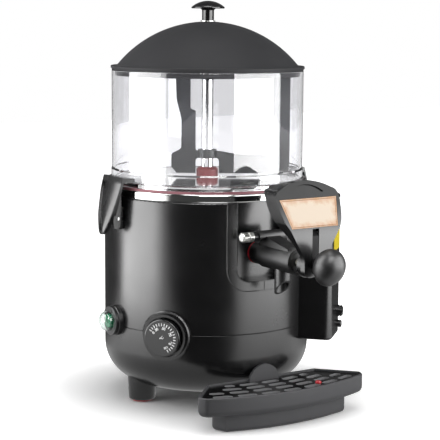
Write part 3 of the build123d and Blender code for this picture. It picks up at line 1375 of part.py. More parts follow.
with BuildPart() as tray_grid:
    with BuildSketch(Plane.XY.offset(GRID_TOP_Z - GRID_T)):
        add(tray_plan.sketch)
        offset(amount=-TRAY_WALL - 0.5, mode=Mode.REPLACE)
        for slot_r, slot_spread in SLOT_ROWS:
            with Locations(*row_places(slot_r, SLOT_PITCH, slot_spread)):
                SlotOverall(SLOT_L, SLOT_W, mode=Mode.SUBTRACT)
        with Locations((FLOAT_X, FLOAT_Y)):
            Circle(FLOAT_R + 0.8, mode=Mode.SUBTRACT)
        with Locations((0, TAB_BACK_Y - 4)):
            Rectangle(2 * TAB_R + 4, 14, mode=Mode.SUBTRACT)
    extrude(amount=GRID_T)
save(tray_grid, "tray_grid")

with BuildPart() as tray_float:
    with Locations((FLOAT_X, FLOAT_Y, FLOAT_LOW_Z + 1.5)):
        Cylinder(FLOAT_R + 4, 3)
    with Locations((FLOAT_X, FLOAT_Y, (FLOAT_LOW_Z + FLOAT_TOP_Z) / 2)):
        Cylinder(FLOAT_R, FLOAT_TOP_Z - FLOAT_LOW_Z)
    fillet(tray_float.edges().group_by(Axis.Z)[-1], 1.5)
save(tray_float, "tray_float")
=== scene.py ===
"""Hot chocolate dispenser: finishes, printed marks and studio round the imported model.

Metres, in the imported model's own frame: +Z up, the tap side faces -Y, the origin on the body's axis.
Sizes of pieces are written in millimetres, and MM turns them into metres.
"""
from functools import partial
from math import asin, cos, degrees, pi, radians, sin, sqrt, tan

import bmesh
import bpy
from bpy.props import FloatProperty, FloatVectorProperty, IntProperty, PointerProperty
from mathutils import Euler, Matrix, Vector


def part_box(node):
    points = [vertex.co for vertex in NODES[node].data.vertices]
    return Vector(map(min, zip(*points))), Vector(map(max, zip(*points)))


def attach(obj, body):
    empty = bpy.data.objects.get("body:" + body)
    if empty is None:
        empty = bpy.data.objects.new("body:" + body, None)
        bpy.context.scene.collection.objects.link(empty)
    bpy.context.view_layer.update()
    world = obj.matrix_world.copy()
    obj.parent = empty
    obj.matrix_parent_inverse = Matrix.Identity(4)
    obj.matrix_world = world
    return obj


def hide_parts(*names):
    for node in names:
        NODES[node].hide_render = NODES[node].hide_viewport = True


bl_info = {
    "name": "Hot Chocolate Dispenser",
    "version": (1, 0, 0),
    "blender": (4, 5, 0),
    "location": "View3D > Sidebar > Dispenser",
    "description": "Finishes, printed marks and studio for a hot chocolate dispenser",
    "category": "Object",
}

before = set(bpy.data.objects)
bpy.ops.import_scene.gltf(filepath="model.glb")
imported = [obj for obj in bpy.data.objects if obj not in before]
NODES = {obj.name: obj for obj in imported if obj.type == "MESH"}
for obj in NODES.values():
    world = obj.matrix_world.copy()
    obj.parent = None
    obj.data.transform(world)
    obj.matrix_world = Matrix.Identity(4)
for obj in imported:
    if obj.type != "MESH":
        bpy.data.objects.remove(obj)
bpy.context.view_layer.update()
MM = 0.001
UP = Vector((0, 0, 1))
WHITE = (1, 1, 1)
# The camera's direction, and what lies towards it and to its right
AZIMUTH = radians(-33)
TOWARDS = Vector((sin(AZIMUTH), -cos(AZIMUTH), 0))
RIGHT = Vector((cos(AZIMUTH), sin(AZIMUTH), 0))
# Refractive index of the plastic that a material is named for, and of anything else
INDEX = {
    "ABS": 1.54, "polyamide": 1.53, "polypropylene": 1.49, "polycarbonate": 1.58, "silicone": 1.41,
    "PVC": 1.53,
}
OTHER_INDEX = 1.5
# Width of the clouds in a moulded colour
CLOUD = 34.0
# Body, and the side box's face with its angle from the front
BODY_R, BODY_TOP = 120.0, 240.0
BOX_ANGLE, BOX_R = 43.0, 155.0
# Drip tray: the front follows an arc round (0, TRAY_ARC_Y); the grid lies in it with a gap all round
TRAY_ARC_Y, TRAY_WALL = 86.3, 3.0
GRID_TOP, GRID_T, GRID_GAP = 39.0, 3.0, 0.3


def srgb(code):
    """Linear red, green and blue of an sRGB hex value."""
    parts = [int(code[place:place + 2], 16) / 255 for place in (1, 3, 5)]
    return tuple(c / 12.92 if c <= 0.04045 else ((c + 0.055) / 1.055) ** 2.4 for c in parts)


def shade(colour, share):
    """A colour made darker or lighter by a share."""
    return tuple(share * channel for channel in colour)


def scale_for(size):
    """Texture scale, in cycles per metre, of a pattern whose features are size mm wide."""
    return 1.0 / (size * MM)


def set_inputs(node, inputs):
    """Give inputs, by name or in order, a value or a link from a socket or a node's first output in use."""
    for name, value in inputs.items() if isinstance(inputs, dict) else enumerate(inputs):
        socket = node.inputs[name]
        if isinstance(value, bpy.types.Node):
            value = next(output for output in value.outputs if output.enabled)
        if isinstance(value, bpy.types.NodeSocket):
            node.id_data.links.new(value, socket)
        else:
            socket.default_value = (*value, 1.0) if socket.type == "RGBA" else value


def add_node(tree, kind, inputs=None, **settings):
    """Add a shader node with its settings and inputs."""
    made = tree.nodes.new(f"ShaderNode{kind}")
    for name, value in settings.items():
        setattr(made, name, value)
    set_inputs(made, inputs or {})
    return made


def new_material(name):
    """A material with one Principled shader, a call that adds nodes to it, and the place on the model."""
    material = bpy.data.materials.new(name)
    material.use_nodes = True
    material.node_tree.nodes.clear()
    add = partial(add_node, material.node_tree)
    add("OutputMaterial", {"Surface": add("BsdfPrincipled")})
    return material, add, add("TexCoord").outputs["Object"]


def set_shader(material, inputs):
    """Set inputs of a material's Principled shader."""
    set_inputs(material.node_tree.nodes["Principled BSDF"], inputs)


def index_of(name):
    """Refractive index of what a material is named for."""
    return next((index for plastic, index in INDEX.items() if plastic in name), OTHER_INDEX)


def place_along(material, axis):
    """Place on the model along an axis, in metres."""
    place = add_node(material.node_tree, "TexCoord").outputs["Object"]
    return add_node(material.node_tree, "SeparateXYZ", {"Vector": place}).outputs[axis]


def by_height(material, low, high, below, above):
    """A value that runs from below to above between two heights in mm."""
    height = place_along(material, "Z")
    return add_node(material.node_tree, "MapRange", (height, low * MM, high * MM, below, above))


def paint_over(material, share, colour):
    """Lay another colour over a material's own, as far as share goes."""
    tree = material.node_tree
    own = tree.nodes["Principled BSDF"].inputs["Base Color"].links[0].from_socket
    mixed = add_node(tree, "Mix", {"Factor": share, "A": own, "B": colour}, data_type="RGBA")
    set_shader(material, {"Base Color": mixed})


def mottle(material, noise, deep, pale, smooth, rough):
    """Let a noise, most of which lies between 0.3 and 0.7, run a material's colour and roughness."""
    tree = material.node_tree
    tone = add_node(tree, "Mix", {"Factor": noise, "A": deep, "B": pale}, data_type="RGBA")
    gloss = add_node(tree, "MapRange", (noise, 0.3, 0.7, smooth, rough))
    set_shader(material, {"Base Color": tone, "Roughness": gloss})


def grained(name, colour, roughness, grain, depth, spread=0.14):
    """A moulded or cast surface: clouded colour, roughness that wanders, grain of a width and depth in mm."""
    material, add, place = new_material(name)
    cloud = add("TexNoise", {"Vector": place, "Scale": scale_for(CLOUD), "Detail": 3.0})
    deep, pale = shade(colour, 1 - spread), shade(colour, 1 + spread)
    mottle(material, cloud, deep, pale, 0.9 * roughness, 1.12 * roughness)
    # Real grain is 0.1 to 0.3 mm wide; all widths given are coarser, so that it shows
    bumps = add("TexNoise", {"Vector": place, "Scale": scale_for(grain), "Detail": 2.0})
    relief = add("Bump", {"Strength": 0.6, "Distance": depth * MM, "Height": bumps})
    set_shader(material, {"Normal": relief, "IOR": index_of(name)})
    return material


def metal(name, colour, roughness, line, stretch):
    """A drawn, turned or polished metal: lines, in mm and stretched along an axis, break up the shine."""
    material, add, place = new_material(name)
    # Real lines are about 0.1 mm wide; all widths given are coarser, so that they show
    drawn = add("Mapping", {"Vector": place, "Scale": stretch})
    lines = add("TexNoise", {"Vector": drawn, "Scale": scale_for(line), "Detail": 4.0})
    mottle(material, lines, shade(colour, 0.94), colour, 0.7 * roughness, 1.4 * roughness)
    set_shader(material, {"Metallic": 1.0})
    return material


def clear_plastic(name, colour, roughness, ripple, depth):
    """A clear moulded wall: smooth, with the faint long ripple that moulding leaves, in mm."""
    material, add, place = new_material(name)
    waves = add("TexNoise", {"Vector": place, "Scale": scale_for(ripple), "Detail": 1.0})
    relief = add("Bump", {"Strength": 0.5, "Distance": depth * MM, "Height": waves})
    set_shader(material, {"Base Color": colour, "Roughness": roughness, "Normal": relief})
    set_shader(material, {"IOR": index_of(name), "Transmission Weight": 1.0})
    return material


def coat(material, *names):
    """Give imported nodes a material."""
    for name in names:
        slots = NODES[name].data.materials
        slots.clear()
        slots.append(material)


def on_side(angle, radius, height, aside=0.0, above=0.0, turn=0.0):
    """Placement on the body's side, in mm: own x runs round the body, y up, z away from the axis.

    The angle is in degrees from the front. aside and above are steps along x and y; turn spins it in place.
    """
    around = radians(angle)
    out = Vector((sin(around), -cos(around), 0))
    along = Vector((cos(around), sin(around), 0))
    axes = Matrix((along, UP, out)).transposed().to_4x4()
    place = Matrix.Translation((out * radius + along * aside + UP * (height + above)) * MM)
    return place @ axes @ Matrix.Rotation(turn, 4, "Z")


def join_rings(bm, rings, capped=True):
    """Add the faces between rings of points that follow each other, and those that close the ends."""
    for low, high in zip(rings, rings[1:]):
        for here in range(len(low)):
            there = (here + 1) % len(low)
            bm.faces.new((low[here], low[there], high[there], high[here]))
    if capped:
        bm.faces.new(rings[0])
        bm.faces.new(rings[-1])


def turned(profile, *places, steps=96):
    """A body of revolution round the Z of each place; profile is a closed ring of (radius, height) in mm."""
    bm = bmesh.new()
    turns = [2 * pi * step / steps for step in range(steps)]
    for place in places or [Matrix()]:
        rings = []
        for radius, height in profile:
            ring = [Vector((radius * cos(turn), radius * sin(turn), height)) * MM for turn in turns]
            rings.append([bm.verts.new(place @ point) for point in ring])
        join_rings(bm, rings + rings[:1], capped=False)
    return bm


def arc(x, y, radius, first, last, steps):
    """Points of an arc round (x, y), from one angle to another in degrees."""
    turns = [radians(first + (last - first) * step / steps) for step in range(steps + 1)]
    return [Vector((x + radius * cos(turn), y + radius * sin(turn))) for turn in turns]


def rounded(corners, steps=6):
    """Closed outline through (x, y, radius) corners; a corner with no radius stays as it is."""
    outline = []
    for index, (x, y, radius) in enumerate(corners):
        here = Vector((x, y))
        if not radius:
            outline.append(here)
            continue
        back = (Vector(corners[index - 1][:2]) - here).normalized()
        on = (Vector(corners[(index + 1) % len(corners)][:2]) - here).normalized()
        half = back.angle(on) / 2
        centre = here + (back + on).normalized() * (radius / sin(half))
        first = here + back * (radius / tan(half)) - centre
        last = here + on * (radius / tan(half)) - centre
        for step in range(steps + 1):
            outline.append(centre + first.lerp(last, step / steps).normalized() * radius)
    return outline


def inset(outline, distance):
    """An anticlockwise outline moved inwards."""
    moved = []
    for index, here in enumerate(outline):
        way = (outline[(index + 1) % len(outline)] - outline[index - 1]).normalized()
        moved.append(here + Vector((-way.y, way.x)) * distance)
    return moved


def lofted(bm, outline, levels):
    """Add a closed body on an outline in mm; levels are (inset, height) pairs in mm."""
    join_rings(bm, [
        [bm.verts.new((place.x * MM, place.y * MM, height * MM)) for place in inset(outline, distance)]
        for distance, height in levels
    ])


def read_curve(points, height):
    """Size at a height, from (height, size) points that run downwards, on a smooth line through them."""
    ends = len(points) - 1
    index = next(here for here in range(ends) if height >= points[here + 1][0] or here == ends - 1)
    (top, first), (low, last) = points[index], points[index + 1]
    slopes = []
    for here in (index, index + 1):
        before, after = points[max(here - 1, 0)], points[min(here + 1, ends)]
        slopes.append((after[1] - before[1]) / (after[0] - before[0]) * (low - top))
    part = (height - top) / (low - top)
    return (
        (2 * part**3 - 3 * part**2 + 1) * first + (part**3 - 2 * part**2 + part) * slopes[0]
        + (3 * part**2 - 2 * part**3) * last + (part**3 - part**2) * slopes[1]
    )


def add_line(curve, points, closed):
    """Add a line through points in mm to a curve."""
    spline = curve.splines.new("POLY")
    spline.points.add(len(points) - 1)
    for point, place in zip(spline.points, points):
        point.co = (*(Vector(place).to_3d() * MM), 1)
    spline.use_cyclic_u = closed


def merge_curve(bm, curve, matrix=Matrix(), thickness=0.0):
    """Add the mesh of a text or an outline with a thickness in mm, its back on matrix's own XY plane."""
    half = thickness * MM / 2
    curve.extrude = half
    holder = bpy.data.objects.new("outline", curve)
    mesh = bpy.data.meshes.new_from_object(holder)
    mesh.transform(matrix @ Matrix.Translation((0, 0, half)))
    bm.from_mesh(mesh)
    bpy.data.objects.remove(holder)
    bpy.data.meshes.remove(mesh)
    bpy.data.curves.remove(curve)


def cut_plate(bm, outlines, thickness, matrix):
    """Add a flat plate in mm, its back on matrix's own XY plane; outlines after the first are holes in it."""
    curve = bpy.data.curves.new("plate", "CURVE")
    curve.dimensions = "2D"
    curve.fill_mode = "BOTH"
    for outline in outlines:
        add_line(curve, outline, closed=True)
    merge_curve(bm, curve, matrix, thickness)


def rounded_plate(bm, width, height, corner, thickness, matrix):
    """Add a flat plate in mm with round corners, its back on matrix's own XY plane."""
    x, y = width / 2, height / 2
    outline = rounded([(x, y, corner), (-x, y, corner), (-x, -y, corner), (x, -y, corner)])
    cut_plate(bm, [outline], thickness, matrix)


def add_text(bm, text, size, bold, thickness, matrix):
    """Add raised characters in mm, centred on matrix's own origin; bold widens a stroke to each side."""
    curve = bpy.data.curves.new("characters", "FONT")
    curve.body = text
    curve.size = size * MM
    curve.align_x = "CENTER"
    curve.align_y = "CENTER"
    curve.offset = bold * MM
    merge_curve(bm, curve, matrix, thickness)


def add_object(name, data):
    """Put an object with its data in the scene."""
    made = bpy.data.objects.new(name, data)
    bpy.context.scene.collection.objects.link(made)
    return made


def add_piece(name, bm, material, body, slot, *stands_for):
    """Turn a bmesh into a piece that rides on a body, in place of the CAD nodes that it stands for."""
    mesh = bpy.data.meshes.new(name)
    bmesh.ops.remove_doubles(bm, verts=bm.verts, dist=1e-7)
    bmesh.ops.recalc_face_normals(bm, faces=bm.faces)
    bm.to_mesh(mesh)
    bm.free()
    mesh.shade_smooth()
    mesh.set_sharp_from_angle(angle=radians(30))
    mesh.materials.append(material)
    piece = add_object(name, mesh)
    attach(piece, body)
    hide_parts(*stands_for)


def leg_sleeves():
    """Tapered sleeves round the four legs, with a broken edge at the foot."""
    circle, bore_r, foot_r, top_r = 88.0, 11.9, 15.3, 16.8
    foot, top, edge = 2.2, 31.0, 0.8
    profile = (bore_r, foot), (foot_r - edge, foot), (foot_r, foot + edge), (top_r, top), (bore_r, top)
    places = [on_side(angle, circle, 0).to_translation() for angle in (0, 90, 180, 270)]
    return turned(profile, *[Matrix.Translation(place) for place in places], steps=64)


def cover_edges():
    """Rounded edges of the outlet cover and of its recess, bent round the body."""
    beads = bmesh.new()
    for half, foot, corner in ((44.2, 140.5, 24.0), (33.5, 151.0, 14.0)):
        path = [
            Vector((half, BODY_TOP)), *arc(half - corner, foot + corner, corner, 0, -90, 10),
            *arc(corner - half, foot + corner, corner, 270, 180, 10), Vector((-half, BODY_TOP)),
        ]
        quarters = (0, 0.25, 0.5, 0.75)
        flat = [start.lerp(end, share) for start, end in zip(path, path[1:]) for share in quarters]
        curve = bpy.data.curves.new("edge", "CURVE")
        curve.dimensions = "3D"
        curve.bevel_depth = 0.55 * MM
        curve.bevel_resolution = 3
        add_line(curve, [(x, -sqrt(BODY_R**2 - x**2), z) for x, z in (*flat, path[-1])], closed=False)
        merge_curve(beads, curve)
    return beads


def lid_profile():
    """Section of the lid, from the screw hole out over the dome, down the stepped rim and back inside."""
    low, rim, top = 381.3, 385.7, 436.3
    dome_r, rim_r, step_r, skirt_r, screw_r = 105.5, 112.4, 111.3, 107.4, 2.7
    wall, edge, step_z = 2.5, 0.6, 382.9
    skirt_low, skirt_edge, skirt_top, shell_low = 374.5, 1.0, 383.7, 384.7
    # The dome is part of a ball, and its inside part of a smaller one round the same centre
    ball = (dome_r**2 + (top - rim) ** 2) / (2 * (top - rim))
    centre, shell = top - ball, ball - wall
    outer = 90 - degrees(asin(dome_r / ball))
    inner = degrees(asin((shell_low - centre) / shell))
    return [
        *arc(0, centre, ball, 90 - degrees(asin(screw_r / ball)), outer, 40),
        (rim_r - edge, rim), (rim_r, rim - edge), (rim_r, step_z), (step_r, step_z), (step_r, low),
        (skirt_r, low), (skirt_r, skirt_low + skirt_edge), (skirt_r - skirt_edge, skirt_low),
        (skirt_r - wall, skirt_low), (skirt_r - wall, skirt_top),
        *arc(0, centre, shell, inner, 90 - degrees(asin(screw_r / shell)), 40),
    ]


def knob_profile():
    """Section of the knob: stem with a blind screw hole, flat-bottomed cap with a round crown."""
    low, hole_top, cap, top = 437.5, 448.5, 451.2, 460.0
    hole_r, stem_r, fillet_r, knob_r, edge, crown_r = 2.6, 6.9, 3.0, 19.2, 0.6, 29.0
    spread = degrees(asin(knob_r / crown_r))
    return [
        (0, hole_top), (hole_r, hole_top), (hole_r, low), (stem_r, low),
        *arc(stem_r + fillet_r, cap - fillet_r, fillet_r, 180, 90, 6),
        (knob_r - edge, cap), (knob_r, cap + edge), *arc(0, top - crown_r, crown_r, 90 - spread, 90, 16),
    ]


def latch_leaf(bm, side):
    """Add a latch's leaf, as sections one under the other: a crowned face that sinks towards a raised rim."""
    # As (height, distance from the axis or half width), downwards
    outer_line = (266, 124.2), (250, 128.6), (232, 133.2), (216, 137.2), (198, 141.2)
    inner_line = (266, 122.0), (248, 126.8), (232, 129.2), (214, 132.3), (198, 137.2)
    half_line = (266, 22.8), (250, 22.6), (228, 18.2), (218, 15.2), (203, 7.8), (200, 5.2), (198.4, 2.2)
    top, tip, levels = 263.2, 198.4, 40
    # The face sinks between flat ends, and the rim is narrower where the leaf is
    widest_rim, rim_share, deepest = 2.2, 0.3, 2.2
    flat_top, flat_tip, run_out = 5.0, 3.0, 3.0
    shares = (0.97, 0.66, 0.33, 0, -0.33, -0.66, -0.97)
    rings = []
    for level in range(levels + 1):
        height = top + (tip - top) * level / levels
        half, outer, inner = (read_curve(line, height) for line in (half_line, outer_line, inner_line))
        face = half - min(widest_rim, rim_share * half)
        from_end = min(top - flat_top - height, height - tip - flat_tip)
        sink = deepest * min(max(from_end / run_out, 0), 1)
        crown = [(share * face, outer - sink * share**2) for share in shares]
        rim = [(half, inner), (half, outer), (face, outer)]
        section = [*rim, *crown, *[(-y, x) for y, x in reversed(rim)]]
        rings.append([bm.verts.new((side * x * MM, y * MM, height * MM)) for y, x in section])
    join_rings(bm, rings)


def latch_hook(bm, side):
    """Add a latch's hook over the jar's flange; its tip follows the jar."""
    back = (257.3, 124.0), (259.5, 126.0), (263.2, 124.9)
    low, top, half, steps, jar_r = 257.3, 261.9, 22.8, 12, 112.7
    rings = []
    for step in range(steps + 1):
        y = half * (2 * step / steps - 1)
        tip = sqrt(jar_r**2 - y**2)
        section = [(low, tip), *back, (top, tip)]
        rings.append([bm.verts.new((side * x * MM, y * MM, z * MM)) for z, x in section])
    join_rings(bm, rings)


def latch_cheeks(bm, side):
    """Add a latch's two cheeks that hang on the pivot."""
    cheek = rounded([
        (126.0, 250, 0), (124.2, 248, 0), (123.6, 228, 0), (125.4, 206.5, 2.5), (132.5, 204.5, 2.5),
        (134, 215, 0), (131, 232, 0),
    ])
    pivot = arc(128.0, 217.0, 2.1, 0, 345, 23)
    inside, outside = 12.6, 16.0
    for y in (inside, -outside):
        stand = Matrix(((side, 0, 0, 0), (0, 0, 1, y * MM), (0, 1, 0, 0), (0, 0, 0, 1)))
        cut_plate(bm, [cheek, pivot], outside - inside, stand)


def tray_plan(front_r, reach, side):
    """Outline with a curved front that reaches to each side, and (x, y, radius) corners of its right side."""
    spread = degrees(asin(reach / front_r))
    front = arc(0, TRAY_ARC_Y, front_r, 270 - spread, 270 + spread, 24)
    left = [(-x, y, radius) for x, y, radius in reversed(side)]
    return rounded([*[(place.x, place.y, 0) for place in front], *side, *left])


def tray_basin(plan):
    """The tray: basin with a ledge for the grid, hollow plinth and upright round tab at the back."""
    tray = bmesh.new()
    rim, floor, round_r, ledge_in = 41.0, 19.0, 7.5, TRAY_WALL + 2.5
    edge_out, edge_in = 0.8, 0.5
    ledge = GRID_TOP - GRID_T - GRID_GAP
    lofted(tray, plan, [
        *arc(round_r, floor + round_r, round_r, 270, 180, 6), (0, rim - edge_out), (edge_out, rim),
        (TRAY_WALL - edge_in, rim), (TRAY_WALL, rim - edge_in), (TRAY_WALL, ledge),
        (ledge_in, ledge), (ledge_in, floor + TRAY_WALL),
    ])
    plinth = tray_plan(264.8, 80.0, ((87.0, -149.0, 6), (68.0, -126.0, 6)))
    top, roof, wall, round_r = 20.0, 18.5, 6.0, 5.0
    lofted(tray, plinth, [(0, top), *arc(round_r, round_r, round_r, 180, 270, 6), (wall, 0), (wall, roof)])
    radius, middle, thickness, back, foot = 20.5, 36.0, 3.2, -119.6, 24.0
    stand = Matrix(((1, 0, 0, 0), (0, 0, -1, back * MM), (0, 1, 0, 0), (0, 0, 0, 1)))
    tab = [(radius, foot), *arc(0, middle, radius, 0, 180, 32), (-radius, foot)]
    cut_plate(tray, [tab], thickness, stand)
    return tray


def grid_slots(plan):
    """Outlines of the slots that stay clear of the tray's wall; those at the ends of a row are shorter."""
    pitch, end_r, lengths, border = 28.0, 4.1, (22, 17, 12), 4.0
    found = []
    edges = [(start, (end - start).normalized()) for start, end in zip(plan, plan[1:] + plan[:1])]
    # Rows of slots: radius, reach to each side, and turn in degrees that leaves room for the float
    for row_r, reach, shift in ((261.6, 92, 0.21), (247.4, 92, 0), (233.8, 92, 0), (220.4, 84, 0)):
        step = degrees(pitch / row_r)
        count = int(degrees(asin(reach / row_r)) / step)
        for index in range(-count, count + 1):
            for length in lengths:
                inwards = (lengths[0] - length) / 2 * (1 if index < 0 else -1)
                turn = radians(index * step + shift) + inwards / row_r
                straight = length / 2 - end_r
                ring = arc(straight, 0, end_r, 90, -90, 8) + arc(-straight, 0, end_r, 270, 90, 8)
                place = Matrix.Translation((0, TRAY_ARC_Y, 0)) @ Matrix.Rotation(turn, 4, "Z")
                slot = [(place @ Vector((x, y - row_r, 0))).to_2d() for x, y in ring]
                clear = min(way.cross(point - start) for start, way in edges for point in slot)
                if clear > TRAY_WALL + border:
                    found.append(slot)
                    break
    return found


def grid_plate(plan):
    """The grid: plate with slots, a hole for the float and a notch for the tray's tab."""
    notch_half, notch_front = 22.5, -126.0
    edge = inset(plan, TRAY_WALL + GRID_GAP)
    start = max(range(len(edge)), key=lambda index: (round(edge[index].y, 2), edge[index].x)) + 1
    notch = [(notch_half, edge[start - 1].y), (notch_half, notch_front)]
    edge[start:start] = [*notch, *[(-x, y) for x, y in reversed(notch)]]
    hole = arc(42.0, -167.2, 3.7, 345, 0, 23)
    grid = bmesh.new()
    level = Matrix.Translation((0, 0, (GRID_TOP - GRID_T) * MM))
    cut_plate(grid, [edge, hole, *grid_slots(plan)], GRID_T, level)
    return grid


def parchment(colours):
    """Coated card: pale warm middle, mottled tan towards the edges, a thin printed line inside the edge."""
    low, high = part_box("sign_card")
    # Half the width at the foot and the top; blots and how far in they reach; the line's place and half width
    foot_half, top_half = 29.9 * MM, 37.0 * MM
    blot, blot_reach = 9.0, 11.0 * MM
    # What the edge adds to the blots, and the middle; sums between which the card turns tan, and how far
    at_edge, in_middle = 0.42, -0.25
    tan_from, tan_to, most_tan = 0.5, 1.0, 0.85
    line_in, line_half = 1.6 * MM, 0.25 * MM
    card, add, place = new_material("Printed card, parchment")
    axes = add("SeparateXYZ", {"Vector": place}).outputs
    across = add("Math", (axes["X"],), operation="ABSOLUTE")
    half = add("MapRange", (axes["Z"], low.z, high.z, foot_half, top_half))
    side = add("Math", (half, across), operation="SUBTRACT")
    foot = add("Math", (axes["Z"], low.z), operation="SUBTRACT")
    head = add("Math", (high.z, axes["Z"]), operation="SUBTRACT")
    ends = add("Math", (foot, head), operation="MINIMUM")
    inside = add("Math", (side, ends), operation="MINIMUM")
    blots = add("TexNoise", {"Vector": place, "Scale": scale_for(blot), "Detail": 5.0, "Roughness": 0.6})
    reach = add("MapRange", (inside, 0.0, blot_reach, at_edge, in_middle))
    warm = add("Math", (blots, reach), operation="ADD")
    share = add("MapRange", (warm, tan_from, tan_to, 0.0, most_tan))
    ground = add("Mix", {"Factor": share, "A": colours.paper, "B": colours.paper_edge}, data_type="RGBA")
    line = add("Math", (inside, line_in, line_half), operation="COMPARE")
    set_shader(card, {"Base Color": ground, "Roughness": 0.6, "Specular IOR Level": 0.15})
    paint_over(card, line, srgb("#A8683C"))
    return card


def make_camera(scene, studio):
    """Camera of the photographed view, for a square frame."""
    pitch, roll, sidestep = 0.141, radians(0.41), 15.5 * MM
    data = bpy.data.cameras.new("camera")
    data.lens = studio.lens
    data.sensor_width = 36.0
    camera = add_object("camera", data)
    turn = Euler((pi / 2 - pitch, 0, AZIMUTH)).to_matrix().to_4x4()
    place = TOWARDS * studio.distance + RIGHT * sidestep + UP * studio.height
    camera.matrix_world = Matrix.Translation(place) @ turn @ Matrix.Rotation(roll, 4, "Z")
    scene.camera = camera


def make_world(scene, studio):
    """White where the camera sees it, itself or through glass; shiny surfaces see a dim room."""
    room_front, room_back = 0.05, 0.14
    # How far a ray points away from the camera, -1 to 1, where the room brightens and the white begins
    room_from, room_to, white_from, white_to = -0.4, 0.2, 0.6, 0.85
    world = bpy.data.worlds.new("studio")
    world.use_nodes = True
    scene.world = world
    world.node_tree.nodes.clear()
    add = partial(add_node, world.node_tree)
    rays = add("LightPath").outputs
    way = add("TexCoord").outputs["Generated"]
    ahead = add("VectorMath", (way, tuple(-TOWARDS)), operation="DOT_PRODUCT")
    dim = add("MapRange", (ahead, room_from, room_to, room_front, room_back))
    sheet = add("MapRange", (ahead, white_from, white_to))
    through = add("Math", (sheet, rays["Is Transmission Ray"]), operation="MULTIPLY")
    seen = add("Math", (rays["Is Camera Ray"], through), operation="MAXIMUM")
    room = add("Mix", {"Factor": rays["Is Glossy Ray"], "A": studio.ambient, "B": dim})
    level = add("Mix", {"Factor": seen, "A": room, "B": 1.0})
    light = add("Background", {"Color": WHITE, "Strength": level})
    add("OutputWorld", {"Surface": light})


def backdrop():
    """Paper, white and quite matt, with a glow: the camera sees the lamps' shadow plus a painted shadow near
    the part and in nooks, shiny surfaces see a painted reflection that dims in front and close by.
    """
    # Painted shadow: metres from the axis over which the camera's glow dims towards the part, the glow left
    # under the part, and reach of the painted shade in nooks
    fade_from, fade_to, least, nook_reach = 0.11, 0.29, 0.15, 0.09
    # Painted reflection levels in shiny surfaces: at the sides, in a wedge towards the camera, behind, and
    # the share left close by, a painted shadow
    sides, wedge, back, close = 1.9, 0.06, 0.1, 0.35
    # The wedge's tip in metres from the axis, and the angles between which its edges run
    tip, wedge_in, wedge_out = 0.2, radians(43), radians(52)
    # Metres towards the camera where what is behind begins, and metres from the axis that are close by
    back_from, back_to, close_from, close_to = -0.3, -0.05, 0.15, 0.5
    material, add, place = new_material("Paper backdrop, white")
    rays = add("LightPath").outputs
    distance = add("VectorMath", (place,), operation="LENGTH")
    # Painted shadow: the glow that the camera sees fades near the part and in nooks, over the lamps' real
    # shadow
    painted_shadow_fade = add("MapRange", (distance, fade_from, fade_to, least))
    painted_nook_shade = add("AmbientOcclusion", {"Distance": nook_reach}, samples=8).outputs["AO"]
    lift = add("Math", (painted_shadow_fade, painted_nook_shade), operation="MULTIPLY")
    seen = add("Math", (rays["Is Camera Ray"], rays["Is Transmission Ray"]), operation="MAXIMUM")
    shown = add("Math", (lift, seen), operation="MULTIPLY")
    set_shader(material, {"Emission Strength": shown, "Emission Color": WHITE})
    set_shader(material, {"Base Color": srgb("#FAFAFA"), "Roughness": 0.9, "Specular IOR Level": 0.0})
    ahead = add("VectorMath", (place, tuple(TOWARDS)), operation="DOT_PRODUCT")
    off_tip = add("VectorMath", (place, tuple(TOWARDS * tip)), operation="SUBTRACT")
    way = add("VectorMath", (off_tip,), operation="NORMALIZE")
    facing = add("VectorMath", (way, tuple(TOWARDS)), operation="DOT_PRODUCT")
    soft = {"interpolation_type": "SMOOTHSTEP"}
    in_front = add("MapRange", (facing, cos(wedge_out), cos(wedge_in), sides, wedge), **soft)
    behind = add("MapRange", (ahead, back_from, back_to, back, sides), **soft)
    level = add("Math", (in_front, behind), operation="MINIMUM")
    # Painted shadow: the floor's glow in shiny surfaces is dimmed close to the part
    painted_near_shade = add("MapRange", (distance, close_from, close_to, close))
    dimmed = add("Math", (level, painted_near_shade), operation="MULTIPLY")
    mirrored = add("Emission", {"Color": WHITE, "Strength": dimmed})
    shiny = add("Math", (rays["Is Glossy Ray"], seen), operation="SUBTRACT")
    nodes = material.node_tree.nodes
    chosen = add("MixShader", (shiny, nodes["Principled BSDF"], mirrored))
    set_inputs(nodes["Material Output"], {"Surface": chosen})
    return material


def make_floor():
    """Flat sheet under the part."""
    half = 4.0
    corners = [(-half, -half, 0), (half, -half, 0), (half, half, 0), (-half, half, 0)]
    mesh = bpy.data.meshes.new("floor")
    mesh.from_pydata(corners, [], [(0, 1, 2, 3)])
    mesh.materials.append(backdrop())
    floor = add_object("floor", mesh)


